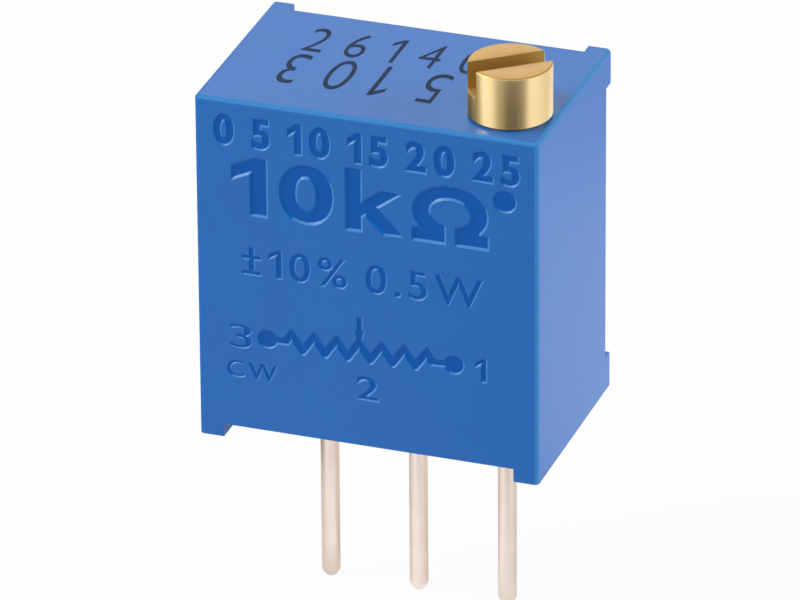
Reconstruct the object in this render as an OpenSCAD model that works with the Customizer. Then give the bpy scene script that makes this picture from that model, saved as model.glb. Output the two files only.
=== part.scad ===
// Square multi-turn trimmer potentiometer: top adjust, three in-line pins, worm-driven wiper.
// Millimetres. The origin is the middle pin's axis on the board surface. +Z points up, away from
// the board, and the marked face looks along -Y. Terminal 1 is on the +X side, terminal 3 on -X.

/* [Case] */
// Width of the case, side to side
body_w = 9.53; // [9.3:0.01:12]
// Depth of the case, from the marked face to the back stand-offs
body_d = 6.1; // [5.8:0.01:8]
// Height of the case above the board
body_h = 10.03; // [9.7:0.01:13]
// Thickness of the two side walls
side_wall = 0.55; // [0.45:0.01:0.7]
// Thickness of the marked front wall
front_wall = 0.6; // [0.4:0.01:0.85]
// Thickness of the top wall beside the screw
top_wall = 0.85; // [0.5:0.01:1.1]
// Thickness of the floor between the rails
floor_wall = 0.6; // [0.4:0.01:0.8]
// Radius along the moulded outer edges
edge_r = 0.13; // [0.05:0.01:0.3]
// Width of each board rail
rail_w = 0.69; // [0.4:0.01:1.2]
// Height of the board rails
rail_h = 0.38; // [0.2:0.01:0.6]
// Width of each back stand-off
standoff_w = 0.62; // [0.3:0.01:1.2]
// Height of each back stand-off
standoff_h = 1; // [0.5:0.01:2]
// How far the back stand-offs stand out
standoff_d = 0.38; // [0.2:0.01:0.6]
// Side of the square posts that carry the substrate
post_w = 0.85; // [0.5:0.01:1]

/* [Pins] */
// Diameter of the pin wire
pin_d = 0.51; // [0.4:0.01:0.6]
// Spacing of the pins
pin_pitch = 2.54; // [2.3:0.01:2.7]
// Length of the pins below the board surface
pin_len = 6; // [3:0.1:12]
// Distance of the pin row behind the marked face
pin_row = 4.06; // [4:0.01:4.3]
// Radius of each pin's bend, to the middle of the wire
pin_bend_r = 0.3; // [0.3:0.01:0.4]
// Height of the pin holes above the floor
pin_hole_up = 0.8; // [0.7:0.01:1]
// Bevel at the tip of each pin
pin_bevel = 0.14; // [0.05:0.01:0.2]
// Thickness of the coined flat that anchors each pin in the potting
anchor_t = 0.34; // [0.25:0.01:0.4]
// Width of the coined flat
anchor_w = 0.62; // [0.55:0.01:0.66]
// Length of the coined flat
anchor_len = 0.6; // [0.55:0.01:0.65]

/* [Adjusting screw] */
// Distance of the screw's axis from the side face
screw_side = 1.27; // [1.22:0.01:1.4]
// Distance of the screw's axis from the marked face
screw_front = 1.52; // [1.45:0.01:1.6]
// Diameter of the slotted head
head_d = 2.24; // [2:0.01:2.4]
// Height of the head
head_h = 1.46; // [1:0.01:2]
// Gap between the head and the top of the case
head_gap = 0.06; // [0.03:0.01:0.12]
// Bevel round the head
head_bevel = 0.05; // [0.02:0.01:0.1]
// Width of the driver slot
slot_w = 0.64; // [0.4:0.01:0.8]
// Depth of the driver slot
slot_depth = 0.76; // [0.4:0.01:0.9]
// Direction of the driver slot at mid travel, in degrees from the marked face
slot_angle = 38; // [0:1:180]
// Diameter of the guiding lands
land_d = 1.8; // [1.78:0.01:1.86]
// Height of the upper land, from the top of the case down to the seal
land_h = 0.45; // [0.3:0.01:0.55]
// Width of the seal groove
groove_w = 0.5; // [0.46:0.01:0.6]
// Diameter at the bottom of the seal groove and of the retainer groove
groove_d = 1; // [0.9:0.01:1.1]
// Height of the lower land, between the seal and the retainer
lower_land_h = 0.6; // [0.4:0.01:0.7]
// Height of the thrust collar under the retainer
collar_h = 0.25; // [0.15:0.01:0.4]
// Diameter of the journal at the lower end
journal_d = 0.9; // [0.7:0.01:0.92]
// Height of the bearing block on the floor
bearing_h = 1.5; // [1:0.01:1.8]
// Depth of the blind bearing hole
bearing_depth = 1.2; // [0.8:0.01:1.3]

/* [Worm drive] */
// Gear module
gear_module = 0.19; // [0.17:0.001:0.195]
// Teeth on the worm wheel
wheel_teeth = 32; // [30:1:33]
// Pitch diameter of the worm
worm_pitch_d = 1.4; // [1.36:0.01:1.44]
// Pressure angle of the teeth in degrees
pressure_angle = 20; // [14:0.5:25]
// Length of the worm thread
worm_len = 3.6; // [2.6:0.1:4]
// Width of the worm wheel's rim
face_w = 1.1; // [0.9:0.01:1.2]
// Play on each flank of the teeth
tooth_play = 0.035; // [0.025:0.001:0.05]
// Screw turns over the whole travel
turns = 25; // [20:1:25]

/* [Rotor] */
// Thickness of the wheel's rim under the teeth
rim_t = 0.37; // [0.25:0.01:0.45]
// Thickness of the wheel's web
web_t = 0.7; // [0.5:0.01:0.75]
// Diameter of the hub
hub_d = 2.3; // [2:0.01:2.6]
// Diameter of the case's stub axle
axle_d = 1.4; // [1:0.01:1.6]
// Thickness of the hub's closed end
hub_end = 0.25; // [0.15:0.01:0.4]
// Width of the case's stop in degrees
stop_angle = 40; // [20:1:60]
// Diameter of the posts that hold the wiper
stake_d = 0.36; // [0.25:0.01:0.4]

/* [Wiper] */
// Thickness of the spring sheet
spring_t = 0.09; // [0.05:0.01:0.12]
// Width of one finger
finger_w = 0.17; // [0.1:0.01:0.2]
// Space from one finger to the next
finger_step = 0.24; // [0.22:0.01:0.26]
// Fingers on the track
track_fingers = 3; // [1:1:3]
// Fingers on the collector
collector_fingers = 2; // [1:1:2]
// Width of the bar that joins the fingers
bar_w = 0.55; // [0.46:0.01:0.6]
// Free length of the fingers, up to their contact
finger_len = 1.2; // [0.9:0.01:1.3]

/* [Element] */
// Thickness of the ceramic substrate
substrate_t = 0.64; // [0.5:0.01:0.75]
// Thickness of the fired films
film_t = 0.03; // [0.02:0.01:0.05]
// Mean radius of the resistive track
track_r = 2.05; // [1.9:0.01:2.1]
// Width of the resistive track
track_w = 0.8; // [0.7:0.01:0.9]
// Angle of each end of the track that the conductor pads take, in degrees
pad_angle = 11; // [6:1:15]
// Diameter of the collector
collector_d = 1.9; // [1.4:0.01:2.2]
// Width of the printed traces
trace_w = 0.5; // [0.3:0.01:0.6]
// Diameter of the printed lands round the pin holes
land_pad_d = 1.1; // [0.95:0.01:1.2]
// Width of the solder film between a pin and its hole
solder_film = 0.045; // [0.03:0.005:0.07]
// How far each pin stands out of the front of the substrate
pin_stub = 0.12; // [0.08:0.01:0.16]

/* [Sealing] */
// Thickness of the retainer sheet
retainer_t = 0.25; // [0.15:0.01:0.3]
// Width of the retainer
retainer_w = 2; // [1.8:0.01:2.04]
// How far the potting lies below the back rim
potting_sink = 0.12; // [0.05:0.01:0.3]
// Sag in the middle of the potting's face
potting_sag = 0.1; // [0.02:0.01:0.2]
// Width of the notches in the floor that the pins leave through
notch_w = 0.9; // [0.84:0.01:1.1]

/* [Clearances] */
// Radial play of the screw's lands and journal and of the rotor on its axle
shaft_play = 0.05; // [0.03:0.005:0.06]
// Gap where thin pieces lie against or beside each other
seat_gap = 0.01; // [0.005:0.005:0.02]
// End play of the rotor and of the stops
end_play = 0.05; // [0.03:0.01:0.08]
// Gap round the substrate's edge
substrate_gap = 0.03; // [0.02:0.01:0.05]
// Room that the posts leave round the printed lands
land_relief = 0.05; // [0.02:0.01:0.1]

/* [Hidden] */
$fn = 48;

// Case planes. The pin row is y = 0 and the board is z = 0.
side_x = body_w / 2;
inner_x = side_x - side_wall;
front_y = -pin_row;
back_y = front_y + body_d;
rim_y = back_y - standoff_d;
wall_y = front_y + front_wall;
floor_z = rail_h + floor_wall;
roof_z = body_h - top_wall;

// Substrate and films
pin_r = pin_d / 2;
substrate_back_y = -pin_r - 2 * seat_gap;
seat_y = substrate_back_y - substrate_t;
film_y = seat_y - film_t;
hole_r = pin_r + solder_film;
hole_z = floor_z + pin_hole_up;
pin_x = [pin_pitch, 0, -pin_pitch];

// Screw
screw_x = side_x - screw_side;
screw_y = front_y + screw_front;
land_r = land_d / 2;
bore_r = land_r + shaft_play;
head_z = body_h + head_gap;
groove_top_z = body_h - land_h;
groove_low_z = groove_top_z - groove_w;
neck_top_z = groove_low_z - lower_land_h;
neck_h = retainer_t + 4 * seat_gap;
collar_top_z = neck_top_z - neck_h;
collar_low_z = collar_top_z - collar_h;
retainer_mid_z = neck_top_z - neck_h / 2;
bearing_top_z = floor_z + bearing_h;
bearing_r = journal_d / 2 + shaft_play;
journal_tip_z = bearing_top_z - bearing_depth + 2 * end_play;

// Worm and wheel. The tooth proportions are a little stubby, as on small moulded gears.
addendum = 0.9 * gear_module;
dedendum = 1.15 * gear_module;
lead = PI * gear_module;
worm_r = worm_pitch_d / 2;
worm_tip_r = worm_r + addendum;
worm_root_r = worm_r - dedendum;
lead_angle = atan(lead / (2 * PI * worm_r));
wheel_r = gear_module * wheel_teeth / 2;
wheel_tip_r = wheel_r + addendum;
wheel_root_r = wheel_r - dedendum;
tooth_w = lead / 2 - tooth_play;
wheel_x = screw_x - worm_r - wheel_r;
wheel_z = (floor_z + roof_z) / 2;
wheel_front_y = screw_y - face_w / 2;
wheel_back_y = screw_y + face_w / 2;
thread_steps = 20;
thread_fade = 14;

// Rotor
travel = 360 * turns / wheel_teeth;
stop_margin = 1;
lug_angle = 360 - travel - stop_angle - 2 * stop_margin;
web_y = wheel_back_y - web_t;
rim_in_r = wheel_root_r - rim_t;
hub_r = hub_d / 2;
axle_r = axle_d / 2;
axle_bore_end_y = wheel_back_y - hub_end;
stop_gap = 2 * end_play;
stake_head_r = stake_d / 2 + 0.08;
stake_head_h = 0.1;

// Wiper, in the wheel's own plane: u runs across and v away from the axis
bar_u = -finger_len - bar_w / 2;
collector_v = 0.15;
bar_low_v = -0.95;
bar_high_v = track_r + finger_step + finger_w / 2;
stake_v = [-0.55, 1.15];
spring_rise = film_y - seat_gap - wheel_back_y;
tip_r = 0.25;

// Printed pattern
track_half_angle = travel / 2 + 2;
track_in_r = track_r - track_w / 2;
track_out_r = track_r + track_w / 2;

// The block at the top corner that guides the screw, and the one below it
boss_w = retainer_w / 2 + 0.35;
boss_low_z = collar_low_z - end_play;
bearing_w = bearing_r + 0.4;
notch_r = notch_w / 2;
potting_y = rim_y - potting_sink;
potting_flat_r = 2.4;
potting_slope = 14;
anchor_z = rail_h + 0.08;
anchor_bevel = 0.08;

// ---- Helpers ----

// Block between two corners
module block(x, y, z) {
    translate([x[0], y[0], z[0]]) cube([x[1] - x[0], y[1] - y[0], z[1] - z[0]]);
}

// Pushes a flat shape drawn in x and z along Y
module along_y(y0, y1) {
    translate([0, y1, 0]) rotate([90, 0, 0]) linear_extrude(y1 - y0) children();
}

// Pushes a flat shape drawn in y and z along X
module along_x(x0, x1) {
    translate([x0, 0, 0]) rotate([90, 0, 90]) linear_extrude(x1 - x0) children();
}

// Rectangle with some corners rounded. corners lists low-left, low-right, high-right, high-left.
module soft_rect(a, b, r, corners) {
    ends = [[a[0], b[0]], [a[1], b[0]], [a[1], b[1]], [a[0], b[1]]];
    difference() {
        translate([a[0], b[0]]) square([a[1] - a[0], b[1] - b[0]]);
        for (i = [0:3])
            if (corners[i])
                translate(ends[i]) rotate(90 * i) difference() {
                    translate([-r, -r]) square(2 * r);
                    translate([r, r]) circle(r);
                }
    }
}

// Flat ring between two radii and two angles
module ring_sector(r0, r1, a0, a1) {
    steps = 8;
    intersection() {
        difference() {
            circle(r1);
            circle(r0);
        }
        polygon([
            [0, 0],
            for (i = [0:steps]) let(a = a0 + (a1 - a0) * i / steps) 1.5 * r1 * [cos(a), sin(a)]
        ]);
    }
}

// Straight printed line between two points, with square ends
module flat_line(a, b, w) {
    d = b - a;
    translate(a) rotate(atan2(d[1], d[0])) translate([0, -w / 2]) square([norm(d), w]);
}

// Places a piece on the screw's axis
module at_screw() {
    translate([screw_x, screw_y, 0]) children();
}

// Places a flat shape of the wheel's plane on the wheel's axis
module at_wheel() {
    translate([wheel_x, wheel_z]) children();
}

// ---- Case ----

// Outer block with its moulded edges rounded
module case_block() {
    intersection() {
        linear_extrude(body_h)
            soft_rect([-side_x, side_x], [front_y, back_y], edge_r, [true, true, false, false]);
        along_y(front_y, back_y)
            soft_rect([-side_x, side_x], [0, body_h], edge_r, [false, false, true, true]);
        along_x(-side_x, side_x)
            soft_rect([front_y, back_y], [0, body_h], edge_r, [false, false, false, true]);
    }
}

// Room between the board rails, and between the back stand-offs
module outside_cuts() {
    over = 1;
    rail_x = side_x - rail_w;
    standoff_x = side_x - standoff_w;
    block([-rail_x, rail_x], [front_y - over, back_y + over], [-over, rail_h]);
    block([-standoff_x, standoff_x], [rim_y, back_y + over], [-over, body_h + over]);
    block([-side_x - over, side_x + over], [rim_y, back_y + over], [standoff_h, body_h - standoff_h]);
}

// Posts and blocks on the inside that the cavity leaves standing
module inner_blocks() {
    for (z = [floor_z, roof_z - post_w])
        block([-inner_x, -inner_x + post_w], [wall_y, seat_y], [z, z + post_w]);
    block([inner_x - post_w, inner_x], [wall_y, seat_y], [floor_z, floor_z + post_w]);
    block([screw_x - boss_w, inner_x], [wall_y, seat_y], [boss_low_z, roof_z]);
    block([screw_x - bearing_w, inner_x], [wall_y, screw_y + bearing_w], [floor_z, bearing_top_z]);
}

// Cavity, open at the back
module cavity() {
    difference() {
        block([-inner_x, inner_x], [wall_y, back_y + 1], [floor_z, roof_z]);
        inner_blocks();
    }
}

// Bore for the screw, bearing hole for its journal and slit for the retainer
module screw_cuts() {
    at_screw() {
        translate([0, 0, bearing_top_z]) cylinder(r = bore_r, h = body_h + 1 - bearing_top_z);
        translate([0, 0, bearing_top_z - bearing_depth]) cylinder(r = bearing_r, h = bearing_depth + 1);
    }
    half = retainer_w / 2 + seat_gap;
    slit_h = retainer_t + 2 * seat_gap;
    block(
        [screw_x - half, screw_x + half],
        [retainer_tip_y() - seat_gap, seat_y],
        [retainer_mid_z - slit_h / 2, retainer_mid_z + slit_h / 2]
    );
}

// Relief in the posts round the printed lands and the pins' stubs
module land_reliefs() {
    for (x = pin_x)
        along_y(film_y - pin_stub - land_relief, seat_y)
            translate([x, hole_z]) circle(land_pad_d / 2 + land_relief);
}

// Notches in the floor that let the pins in from the back
module pin_notches(y_end) {
    for (x = pin_x)
        translate([x, 0, rail_h]) linear_extrude(floor_wall) {
            circle(notch_r);
            translate([-notch_r, 0]) square([notch_w, y_end]);
        }
}

// Stub axle, thrust ring and stop on the inside of the front wall
module rotor_seat() {
    along_y(wall_y, axle_bore_end_y - end_play) at_wheel() circle(axle_r);
    along_y(wall_y, wheel_front_y - end_play) at_wheel() circle(hub_r);
    along_y(wall_y, web_y - end_play)
        at_wheel() ring_sector(
            hub_r + stop_gap, rim_in_r - stop_gap, -90 - stop_angle / 2, -90 + stop_angle / 2
        );
}

module housing() {
    color([0.17, 0.40, 0.71]) {
        difference() {
            case_block();
            outside_cuts();
            cavity();
            screw_cuts();
            land_reliefs();
            pin_notches(back_y + 1);
        }
        rotor_seat();
    }
}

// ---- Adjusting screw ----

// Half section of the turned screw, as radius and height
function screw_outline() = let(
    head_r = head_d / 2,
    head_top = head_z + head_h,
    groove_r = groove_d / 2,
    journal_r = journal_d / 2
) [
    [0, journal_tip_z],
    [journal_r - head_bevel, journal_tip_z],
    [journal_r, journal_tip_z + head_bevel],
    [journal_r, bearing_top_z + end_play],
    [worm_root_r, bearing_top_z + 2 * end_play],
    [worm_root_r, collar_low_z],
    [land_r, collar_low_z],
    [land_r, collar_top_z],
    [groove_r, collar_top_z],
    [groove_r, neck_top_z],
    [land_r, neck_top_z],
    [land_r, groove_low_z],
    [groove_r, groove_low_z],
    [groove_r, groove_top_z],
    [land_r, groove_top_z],
    [land_r, head_z],
    [head_r, head_z],
    [head_r, head_top - head_bevel],
    [head_r - head_bevel, head_top],
    [0, head_top]
];

// Width of the worm thread at a radius
function thread_w(r) = tooth_w + 2 * (worm_r - r) * tan(pressure_angle);

// Right-hand worm thread: a trapezium swept along the helix, fading out at both ends.
// Its crest faces the wheel in a gap between two teeth, at the height of the wheel's axis.
module worm_thread() {
    steps = round(thread_steps * worm_len / lead);
    root_r = worm_root_r - 0.06;
    function crest_r(i) =
        worm_root_r + (worm_tip_r - worm_root_r) * min(1, (i + 1) / thread_fade, (steps - i + 1) / thread_fade);
    function section(i) = let(
        a = 180 + 360 * (i - steps / 2) / thread_steps,
        z = wheel_z + lead * (i - steps / 2) / thread_steps,
        c = crest_r(i)
    ) [
        for (p = [[root_r, -thread_w(root_r) / 2], [c, -thread_w(c) / 2], [c, thread_w(c) / 2], [root_r, thread_w(root_r) / 2]])
            [p[0] * cos(a), p[0] * sin(a), z + p[1]]
    ];
    points = [for (i = [0:steps]) each section(i)];
    sides = [
        for (i = [0:steps - 1], j = [0:3]) let(k = (j + 1) % 4, a = 4 * i)
            each [[a + j, a + k, a + 4 + k], [a + j, a + 4 + k, a + 4 + j]]
    ];
    last = 4 * steps;
    ends = [[0, 2, 1], [0, 3, 2], [last, last + 1, last + 2], [last, last + 2, last + 3]];
    polyhedron(points, concat(sides, ends));
}

module adjusting_screw() {
    color([0.80, 0.64, 0.33]) at_screw() {
        difference() {
            rotate_extrude() polygon(screw_outline());
            translate([0, 0, head_z + head_h - slot_depth]) rotate(slot_angle)
                translate([-head_d, -slot_w / 2, 0]) cube([2 * head_d, slot_w, slot_depth + 1]);
        }
        worm_thread();
    }
}

// ---- Seal and retainer ----

module o_ring() {
    inner = groove_d / 2;
    cord_r = (bore_r - seat_gap - inner) / 2;
    color([0.12, 0.12, 0.13]) at_screw()
        translate([0, 0, (groove_top_z + groove_low_z) / 2])
            rotate_extrude() translate([inner + cord_r, 0]) circle(cord_r, $fn = 24);
}

// Front end of the retainer's legs
function retainer_tip_y() = screw_y - groove_d / 2 - 0.25;

module screw_retainer() {
    grip_r = groove_d / 2 + shaft_play;
    end_y = seat_y - 2 * seat_gap;
    color([0.72, 0.72, 0.70]) translate([0, 0, retainer_mid_z - retainer_t / 2])
        linear_extrude(retainer_t) difference() {
            translate([screw_x - retainer_w / 2, retainer_tip_y()])
                square([retainer_w, end_y - retainer_tip_y()]);
            translate([screw_x, screw_y]) circle(grip_r);
            translate([screw_x - grip_r, screw_y - 2]) square([2 * grip_r, 2]);
        }
}

// ---- Worm wheel ----

// Point of an involute of the wheel's base circle, at radius r, beside the middle of a tooth
function flank(r, side) = let(
    base_r = wheel_r * cos(pressure_angle),
    roll = acos(base_r / max(r, base_r)),
    inv = tan(roll) * 180 / PI - roll,
    inv_pitch = tan(pressure_angle) * 180 / PI - pressure_angle,
    half = (tooth_w / wheel_r) * 90 / PI + inv_pitch - inv
) r * [cos(half), side * sin(half)];

// One tooth pointing along +X, in the wheel's plane
module tooth_shape() {
    steps = 4;
    radii = [for (i = [0:steps]) wheel_root_r + (wheel_tip_r - wheel_root_r) * i / steps];
    root = wheel_root_r - rim_t / 2;
    polygon([
        [root, -flank(wheel_root_r, 1)[1]],
        for (r = radii) flank(r, -1),
        for (i = [steps:-1:0]) flank(radii[i], 1),
        [root, flank(wheel_root_r, 1)[1]]
    ]);
}

// Teeth tilted to the worm's lead, trimmed to the width of the rim
module wheel_teeth_ring() {
    intersection() {
        translate([wheel_x, screw_y, wheel_z])
            for (i = [0:wheel_teeth - 1])
                rotate([0, -360 * (i + 0.5) / wheel_teeth, 0]) rotate([-lead_angle, 0, 0])
                    along_y(-face_w, face_w) tooth_shape();
        along_y(wheel_front_y, wheel_back_y) at_wheel() circle(wheel_tip_r + 1);
    }
}

module worm_wheel() {
    color([0.90, 0.89, 0.84]) {
        wheel_teeth_ring();
        difference() {
            union() {
                along_y(wheel_front_y, wheel_back_y) at_wheel() difference() {
                    circle(wheel_root_r);
                    circle(rim_in_r);
                }
                along_y(web_y, wheel_back_y) at_wheel() circle(wheel_root_r - rim_t / 2);
                along_y(wheel_front_y, wheel_back_y) at_wheel() circle(hub_r);
                along_y(wheel_front_y, wheel_back_y)
                    at_wheel() ring_sector(
                        hub_r - 0.2, rim_in_r + rim_t / 2, 90 - lug_angle / 2, 90 + lug_angle / 2
                    );
            }
            along_y(wheel_front_y - 1, axle_bore_end_y) at_wheel() circle(axle_r + shaft_play);
        }
        for (v = stake_v) {
            along_y(wheel_back_y - web_t / 2, wheel_back_y + spring_t) stake_circle(v, stake_d / 2);
            along_y(wheel_back_y + spring_t, wheel_back_y + spring_t + stake_head_h)
                stake_circle(v, stake_head_r);
        }
    }
}

module stake_circle(v, r) {
    at_wheel() translate([bar_u, v]) circle(r);
}

// ---- Wiper ----

// Thin strip of sheet along a line of points, as a closed outline
function strip(points, t) = let(
    last = len(points) - 1,
    dirs = [for (i = [0:last - 1]) (points[i + 1] - points[i]) / norm(points[i + 1] - points[i])],
    mids = [for (i = [0:last]) let(d = dirs[max(0, i - 1)] + dirs[min(last - 1, i)]) d / norm(d)],
    offs = [for (i = [0:last]) let(c = mids[i] * dirs[min(last - 1, i)]) [-mids[i][1], mids[i][0]] * t / 2 / c]
) concat(
    [for (i = [0:last]) points[i] + offs[i]],
    [for (i = [last:-1:0]) points[i] - offs[i]]
);

// Side view of one finger: flat in the bar, rising to the film, and curled at the contact
function finger_line() = let(
    low = spring_t / 2,
    high = spring_rise - spring_t / 2,
    root_u = -finger_len,
    slope = 38,
    tip = [0, high - tip_r],
    curl = [for (a = [90 + slope:-16:30]) tip + tip_r * [cos(a), sin(a)]],
    foot = curl[0] - (curl[0][1] - low) * [cos(slope) / sin(slope), 1]
) concat([[min(foot[0] - 0.05, root_u), low], foot], curl);

module finger(v) {
    translate([wheel_x, wheel_back_y, wheel_z + v - finger_w / 2])
        linear_extrude(finger_w) polygon(strip(finger_line(), spring_t));
}

module wiper() {
    color([0.83, 0.72, 0.42]) {
        difference() {
            along_y(wheel_back_y, wheel_back_y + spring_t)
                at_wheel() translate([bar_u - bar_w / 2, bar_low_v])
                    square([bar_w + 0.02, bar_high_v - bar_low_v]);
            for (v = stake_v)
                along_y(wheel_back_y - 1, wheel_back_y + 1) stake_circle(v, stake_d / 2);
        }
        for (i = [0:track_fingers - 1]) finger(track_r + (i - (track_fingers - 1) / 2) * finger_step);
        for (i = [0:collector_fingers - 1]) finger(collector_v + i * finger_step);
    }
}

// ---- Substrate and its printed pattern ----

module pin_holes(r) {
    for (x = pin_x) translate([x, hole_z]) circle(r);
}

module substrate() {
    low_x = -inner_x + substrate_gap;
    low_z = floor_z + substrate_gap;
    color([0.93, 0.92, 0.88]) along_y(seat_y, substrate_back_y) difference() {
        translate([low_x, low_z]) square([-2 * low_x, roof_z - substrate_gap - low_z]);
        pin_holes(hole_r);
    }
}

// A fired film of the given flat shape, open round the pin holes
module film() {
    along_y(film_y, seat_y) difference() {
        children();
        pin_holes(hole_r);
    }
}

module cermet_track() {
    half = track_half_angle - pad_angle;
    color([0.13, 0.13, 0.14]) film()
        at_wheel() ring_sector(track_in_r, track_out_r, 90 - half, 90 + half);
}

// End of the track on one side, 1 for +X and -1 for -X, and its trace to a pin's hole
module end_conductor(side, hole_x) {
    inner_a = 90 - side * (track_half_angle - pad_angle);
    outer_a = 90 - side * track_half_angle;
    mid_a = (inner_a + outer_a) / 2;
    start = [wheel_x, wheel_z] + track_r * [cos(mid_a), sin(mid_a)];
    color([0.72, 0.71, 0.68]) film() {
        at_wheel() ring_sector(track_in_r, track_out_r, min(inner_a, outer_a), max(inner_a, outer_a));
        difference() {
            flat_line(start, [hole_x, hole_z], trace_w);
            at_wheel() circle(track_out_r - 0.05);
        }
        translate([hole_x, hole_z]) circle(land_pad_d / 2);
    }
}

module collector() {
    color([0.72, 0.71, 0.68]) film() {
        at_wheel() circle(collector_d / 2);
        flat_line([wheel_x, wheel_z], [pin_x[1], hole_z], trace_w);
        translate([pin_x[1], hole_z]) circle(land_pad_d / 2);
    }
}

// ---- Pins and solder ----

// Bent wire: up through the floor, over a round bend and forward through the substrate.
// A short length inside the potting is coined flat, so that it can't be pulled out.
module pin(x) {
    tip_z = -pin_len;
    anchor_end_z = anchor_z + anchor_len;
    bend_z = hole_z - pin_bend_r;
    stub_y = film_y - pin_stub;
    color([0.88, 0.84, 0.79]) translate([x, 0, 0]) {
        translate([0, 0, tip_z]) cylinder(r1 = pin_r - pin_bevel, r2 = pin_r, h = pin_bevel);
        translate([0, 0, tip_z + pin_bevel]) cylinder(r = pin_r, h = anchor_z - tip_z - pin_bevel);
        translate([0, 0, anchor_z]) linear_extrude(anchor_len) anchor_shape();
        translate([0, 0, anchor_end_z]) cylinder(r = pin_r, h = bend_z - anchor_end_z);
        translate([0, -pin_bend_r, bend_z]) rotate([0, -90, 0]) rotate_extrude(angle = 90)
            translate([pin_bend_r, 0]) circle(pin_r, $fn = 24);
        translate([0, stub_y, hole_z]) rotate([-90, 0, 0]) cylinder(r = pin_r, h = -pin_bend_r - stub_y);
    }
}

// Section of the coined flat, with bevelled edges
module anchor_shape() {
    w = anchor_w / 2;
    t = anchor_t / 2;
    b = anchor_bevel;
    polygon([[-w, -t + b], [-w + b, -t], [w - b, -t], [w, -t + b], [w, t - b], [w - b, t], [-w + b, t], [-w, t - b]]);
}

// Solder in the hole and a fillet round the pin's stub
module solder(x) {
    fillet_h = pin_stub - seat_gap;
    base_r = land_pad_d / 2 - 0.08;
    color([0.66, 0.66, 0.67]) translate([x, film_y, hole_z]) rotate([90, 0, 0])
        rotate_extrude() polygon([
            [pin_r, film_y - substrate_back_y],
            [hole_r, film_y - substrate_back_y],
            [hole_r, 0],
            [base_r, 0],
            [(base_r + pin_r) / 2 - 0.04, fillet_h * 0.35],
            [pin_r + 0.05, fillet_h],
            [pin_r, fillet_h]
        ]);
}

// ---- Potting ----

module potting() {
    color([0.10, 0.16, 0.27]) difference() {
        union() {
            block([-inner_x, inner_x], [substrate_back_y, potting_y], [floor_z, roof_z]);
            intersection() {
                pin_notches(back_y);
                block([-side_x, side_x], [front_y, potting_y], [0, floor_z]);
            }
        }
        translate([0, potting_y - potting_sag, (floor_z + roof_z) / 2]) rotate([-90, 0, 0])
            cylinder(r1 = potting_flat_r, r2 = potting_flat_r + potting_slope * potting_sag, h = potting_sag);
        for (x = pin_x) pin(x);
    }
}

housing();
adjusting_screw();
o_ring();
screw_retainer();
worm_wheel();
wiper();
substrate();
cermet_track();
end_conductor(1, pin_x[0]);  // end_conductor_1
end_conductor(-1, pin_x[2]);  // end_conductor_3
collector();
pin(pin_x[0]);  // pin_1
pin(pin_x[1]);  // pin_2
pin(pin_x[2]);  // pin_3
solder(pin_x[0]);  // solder_1
solder(pin_x[1]);  // solder_2
solder(pin_x[2]);  // solder_3
potting();
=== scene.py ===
"""Looks of a square multi-turn trimmer potentiometer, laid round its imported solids.

Shapes are worked out in millimetres in the part's own frame and put into the meshes in metres: the
board surface is z = 0, the middle pin's axis is x = y = 0, and the marked face looks along -Y.
"""

import logging
import math
from dataclasses import dataclass, field, replace
from enum import Enum, IntEnum
from functools import lru_cache
from typing import Any, Callable, Iterable, Optional, Sequence

import bmesh
import bpy
import numpy as np
from mathutils import Matrix, Vector
from mathutils.geometry import delaunay_2d_cdt


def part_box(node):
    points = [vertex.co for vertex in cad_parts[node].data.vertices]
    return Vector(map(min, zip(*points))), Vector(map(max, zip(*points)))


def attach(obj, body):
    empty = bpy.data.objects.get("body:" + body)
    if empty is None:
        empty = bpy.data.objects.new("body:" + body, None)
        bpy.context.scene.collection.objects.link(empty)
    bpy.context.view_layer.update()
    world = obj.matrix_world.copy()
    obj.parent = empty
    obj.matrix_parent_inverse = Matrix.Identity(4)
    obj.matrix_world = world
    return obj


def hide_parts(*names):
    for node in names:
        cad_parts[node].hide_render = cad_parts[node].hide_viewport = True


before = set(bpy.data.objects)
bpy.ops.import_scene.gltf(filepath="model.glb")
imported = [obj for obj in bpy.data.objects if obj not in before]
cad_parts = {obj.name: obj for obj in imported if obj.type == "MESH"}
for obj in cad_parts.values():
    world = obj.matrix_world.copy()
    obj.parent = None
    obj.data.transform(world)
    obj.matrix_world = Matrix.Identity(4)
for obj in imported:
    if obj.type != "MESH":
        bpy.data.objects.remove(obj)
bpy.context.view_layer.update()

MM = 0.001
UM = 1e-6
# Millimetres within which points are one, a point lies on a plane, and a point is at a side.
MERGE_MM = 2e-5
PLANE_MM = 1e-4
SIDE_MM = 1e-3
log = logging.getLogger("trimmer")

Array = np.ndarray
Colour = tuple[float, float, float, float]
Edge = bmesh.types.BMEdge
Loops = Sequence[Array]
Material = bpy.types.Material
Node = bpy.types.Node
Object = bpy.types.Object
Socket = bpy.types.NodeSocket
Tree = bpy.types.NodeTree
WHITE: Colour = (1.0, 1.0, 1.0, 1.0)


# ---- Colour, nodes and objects ----


def linear(code: str) -> Colour:
    """Turns an sRGB hex colour into a linear one.

    Args:
        code: Six hex digits, two each for red, green and blue.

    Returns:
        The linear red, green, blue and an alpha of 1.
    """
    values = [int(code[i : i + 2], 16) / 255 for i in (0, 2, 4)]
    red, green, blue = (v / 12.92 if v <= 0.04045 else ((v + 0.055) / 1.055) ** 2.4 for v in values)
    return red, green, blue, 1.0


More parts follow.
